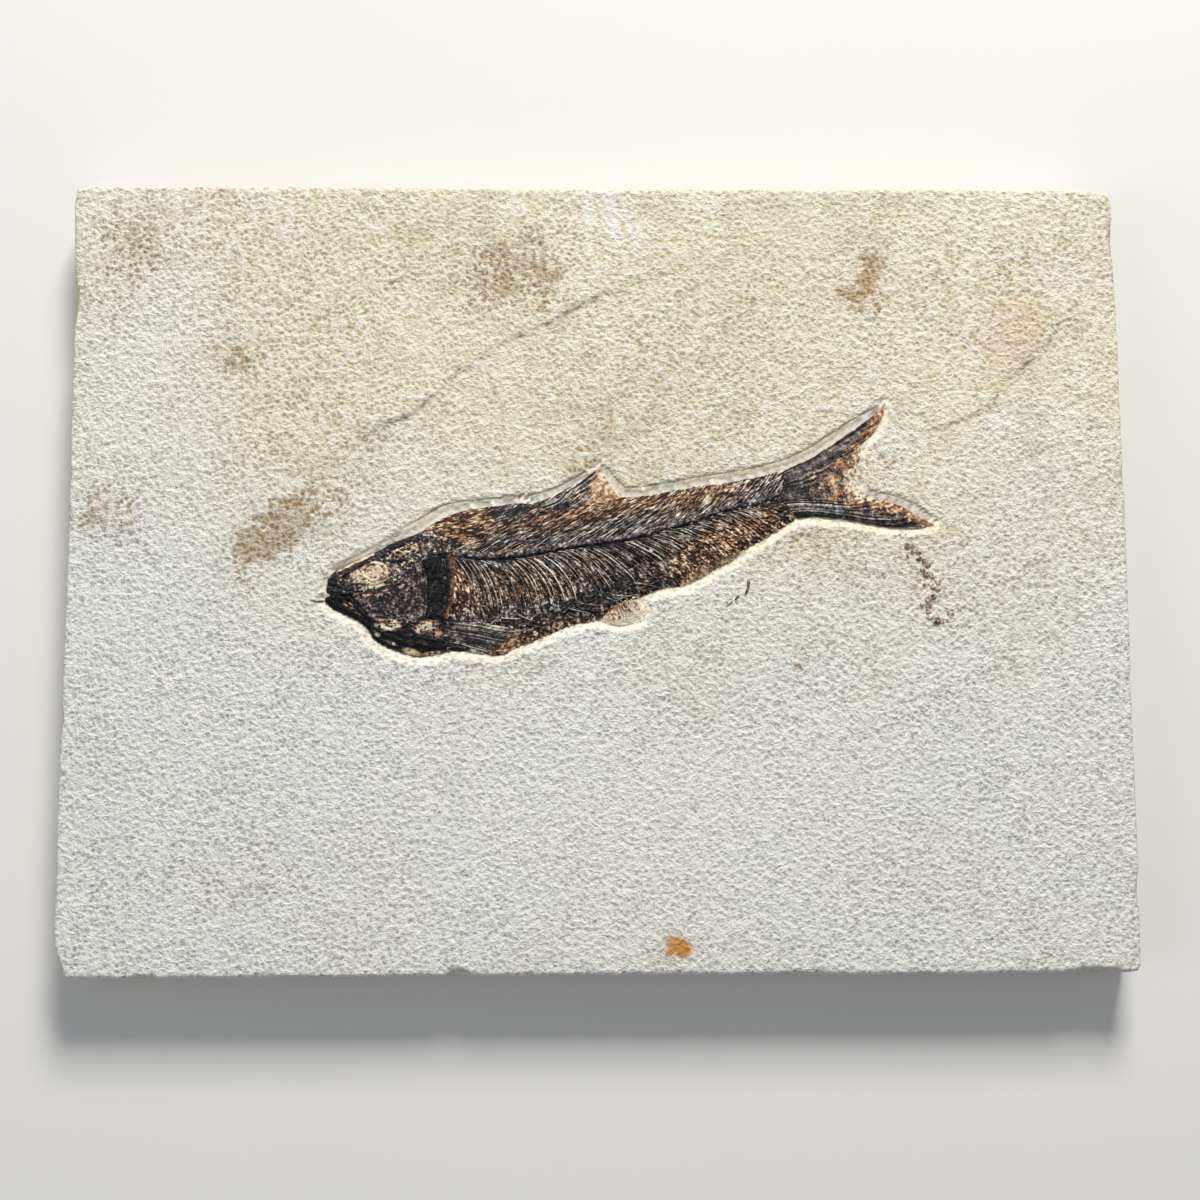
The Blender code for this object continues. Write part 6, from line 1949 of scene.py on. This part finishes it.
@dataclass
class StraySpine:
    """A loose bent spine below the anal fin, broken into a few lengths."""

    name: str = "stray_fin_spine"
    lengths: tuple[Line, ...] = (
        ((31.0, -1.5), (31.1, -2.4), (31.0, -3.3), (30.7, -4.2), (30.3, -4.9)),
        ((29.2, -5.1), (28.9, -5.3), (28.6, -5.6), (28.4, -5.8), (28.2, -6.0)),
        ((27.7, -6.3), (27.4, -6.6), (27.0, -6.9), (26.6, -7.2), (26.2, -7.5)),
    )

    def build(self, material: bpy.types.Material) -> bpy.types.Object:
        """Make the lengths, sunk by half in the face of the stone."""
        shell = Shell()
        lines = np.array([walk(line, np.linspace(0, 1, 12)) for line in self.lengths])
        z = np.full((*lines.shape[:2], 1), FACE_Z + 0.10)
        shape = np.array([0.32, 0.22, 0.16])[:, None] * np.linspace(1.0, 0.75, 12)[None, :]
        shape = shape * np.clip(4.0 * np.sin(np.linspace(0.08, math.pi - 0.08, 12)), 0.3, 1.0)[None, :]
        look = np.array([[0.50, 0.8, 0.45, 0.0], [0.50, 0.7, 0.4, 0.0], [0.62, 0.6, 0.3, 0.2]])
        shell.add_tubes(np.concatenate([lines, z], axis=2), shape, look, sides=10)
        return shell.to_object(self.name, "stray_spine", material)


# --- Studio --------------------------------------------------------------------------------------


@dataclass(frozen=True)
class Studio:
    """The plain floor, the soft lights and the camera over the slab."""

    camera_place: tuple[float, float, float] = (-7.4715, -50.1847, 376.0377 + FACE_Z)
    camera_right: tuple[float, float, float] = (0.99978921, -0.00428269, 0.02007977)
    camera_up: tuple[float, float, float] = (0.00190767, 0.99314915, 0.11683806)
    camera_back: tuple[float, float, float] = (-0.02044259, -0.11677513, 0.99294797)
    lens: float = 55.0
    floor_colour: Colour = paint(222, 221, 218)
    floor_half_size: float = 3.0

    def build(self) -> None:
        """Make the floor, the lights and the camera."""
        self.floor()
        self.light("key", (0.16, 0.95, 0.68), 0.36, 18.0, paint(255, 252, 247))
        self.light("fill", (-1.10, -0.30, 0.80), 0.80, 3.0, paint(246, 250, 255))
        world = bpy.data.worlds.new("studio")
        world.use_nodes = True
        background = world.node_tree.nodes["Background"]
        background.inputs["Color"].default_value = (*paint(236, 240, 246), 1.0)
        background.inputs["Strength"].default_value = 0.32
        bpy.context.scene.world = world
        bpy.context.scene.view_settings.view_transform = "Standard"
        self.camera()

    def floor(self) -> None:
        """The pale floor that the slab lies on: a wide square with a faint mottle."""
        half = self.floor_half_size
        mesh = bpy.data.meshes.new("floor")
        corners = [(-half, -half, 0), (half, -half, 0), (half, half, 0), (-half, half, 0)]
        mesh.from_pydata(corners, [], [(0, 1, 2, 3)])
        obj = bpy.data.objects.new("floor", mesh)
        bpy.context.scene.collection.objects.link(obj)
        material, nodes, shader = new_material("studio_floor")
        share = nodes.times(nodes.noise(nodes.place(), 0.02, 2.0), 0.12)
        darker = tuple(0.86 * c for c in self.floor_colour)
        nodes.feed(shader["Base Color"], nodes.mix(share, self.floor_colour, darker))
        shader["Roughness"].default_value = 0.8
        mesh.materials.append(material)

    @staticmethod
    def light(name: str, place: Sequence[float], size: float, power: float, colour: Colour) -> None:
        """A square area light, in metres and watts, turned to the middle of the slab."""
        lamp = bpy.data.lights.new(name, "AREA")
        lamp.shape = "SQUARE"
        lamp.size = size
        lamp.energy = power
        lamp.color = colour
        obj = bpy.data.objects.new(name, lamp)
        obj.location = place
        obj.rotation_euler = (-Vector(place)).to_track_quat("-Z", "Y").to_euler()
        bpy.context.scene.collection.objects.link(obj)

    def camera(self) -> None:
        """The camera over the slab, a little below its middle, looking down and slightly upwards of it."""
        data = bpy.data.cameras.new("camera")
        data.lens = self.lens
        data.sensor_width = 36.0
        data.clip_start = 0.01
        obj = bpy.data.objects.new("camera", data)
        axes = (self.camera_right, self.camera_up, self.camera_back)
        turn = Matrix(axes).transposed().to_4x4()
        obj.matrix_world = Matrix.Translation(Vector(self.camera_place) * MM) @ turn
        bpy.context.scene.collection.objects.link(obj)
        bpy.context.scene.camera = obj


# --- The fish's pieces ---------------------------------------------------------------------------


def fish_pieces() -> list[tuple[Plate, str]]:
    """The fish's plates between their lines (south, east, north, west), each with its finish's name."""
    flank_south = joined(PECTORAL_TOP, PECTORAL_REAR, BELLY_FRONT, PELVIC_ROOT, BELLY_MIDDLE, ANAL_ROOT,
                         BELLY_REAR)
    flank_north = joined(BACK_BEFORE_FIN, FIN_BASE, BACK_AFTER_FIN)
    flank_west = joined(home(SHOULDER_REAR), home(NAPE))
    skull_south = joined(JAW_TOP, CHEEK_TOP, SHOULDER_TOP)
    return [
        (FlankScales("flank_skin_and_scales", "flank_scales", flank_south, home(TAIL_ROOT), flank_north,
                     flank_west, 620, 150), "scales"),
        (Skull("skull_roof_and_orbit", "skull", skull_south, home(NAPE), SKULL_TOP, home(SNOUT), 180, 110),
         "skull_bone"),
        (GillCover("cheek_and_gill_cover", "gill_cover", CHEEK_FOOT, home(SHOULDER_FRONT), CHEEK_TOP,
                   home(JAW_REAR[:4]), 120, 100), "cheek_bone"),
        (ShoulderBone("shoulder_plate", "shoulder_bone", SHOULDER_FOOT, home(SHOULDER_REAR), SHOULDER_TOP,
                      home(SHOULDER_FRONT), 60, 120), "black_bone"),
        (ThroatBones("throat_plates", "throat_bones", THROAT_EDGE, home(PECTORAL_ROOT),
                     joined(CHEEK_FOOT, SHOULDER_FOOT), home(JAW_REAR[3:]), 130, 70), "black_bone"),
        (LowerJaw("lower_jaw_bars", "lower_jaw", JAW_EDGE, home(JAW_REAR), JAW_TOP, home(CHIN), 90, 44),
         "black_bone"),
        (DorsalFin("dorsal_fin_rays", "dorsal_fin", FIN_BASE, home(FIN_REAR), FIN_FRONT[1:], FIN_FRONT[:2],
                   140, 80), "pale_fin"),
        (TailFin("tail_fin_lobes", "tail_fin", LOWER_LOBE, home(FORK), UPPER_LOBE, home(TAIL_ROOT), 220, 150),
         "fin_rays"),
        (PectoralFin("pectoral_fin_sheaf", "pectoral_fin", PECTORAL_EDGE, home(PECTORAL_REAR), PECTORAL_TOP,
                     home(PECTORAL_ROOT), 130, 70), "fin_rays"),
        (PelvicFin("pelvic_fin_fan", "pelvic_fin", PELVIC_EDGE[:5], PELVIC_EDGE[4:], PELVIC_ROOT[2:],
                   PELVIC_ROOT[:3], 70, 50), "pale_fin"),
        (AnalFin("anal_fin_membrane", "anal_fin", ANAL_EDGE[1:], home(ANAL_ROOT[-2:]), ANAL_ROOT[1:-1],
                 [ANAL_EDGE[1], ANAL_EDGE[0], ANAL_ROOT[1]], 110, 24), "pale_fin"),
    ]


def fossil_finishes() -> list[FossilFinish]:
    """The finishes of the fossil's pieces."""
    return [
        FossilFinish("scales", fleck=1.5, flows=True),
        FossilFinish("dark_bone", tint=(0.98, 0.98, 1.0), fleck=0.9, cloud=0.4, specular=0.25),
        FossilFinish("skull_bone", tint=(1.0, 0.99, 0.97)),
        FossilFinish("cheek_bone", tint=(1.0, 0.93, 0.96)),
        FossilFinish("black_bone", tint=(0.92, 0.98, 1.0), fleck=0.45, cloud=0.15, rough_glossy=0.2,
                     specular=0.16),
        FossilFinish("fin_rays", tint=(0.97, 0.99, 1.0), fleck=0.8),
        FossilFinish("pale_fin", fleck=0.8),
        FossilFinish("dropping", tint=(0.96, 0.94, 0.92), rough_dull=0.9, rough_glossy=0.5, fleck=0.5),
    ]


def main() -> None:
    """Make the studio and every piece."""
    logging.basicConfig(level=logging.INFO, format="%(name)s: %(message)s")
    groups = Groups(build_speckle_group(), build_grain_group(), build_fossil_colour_group())
    Slab().build(LimestoneFinish().build(groups))
    finishes = {finish.name: finish.build(groups) for finish in fossil_finishes()}
    for plate, finish in fish_pieces():
        plate.build(finishes[finish])
    Backbone().build(finishes["dark_bone"])
    Droppings().build(finishes["dropping"])
    StraySpine().build(finishes["dropping"])
    Studio().build()
    bpy.context.view_layer.update()


if __name__ == "__main__":
    main()
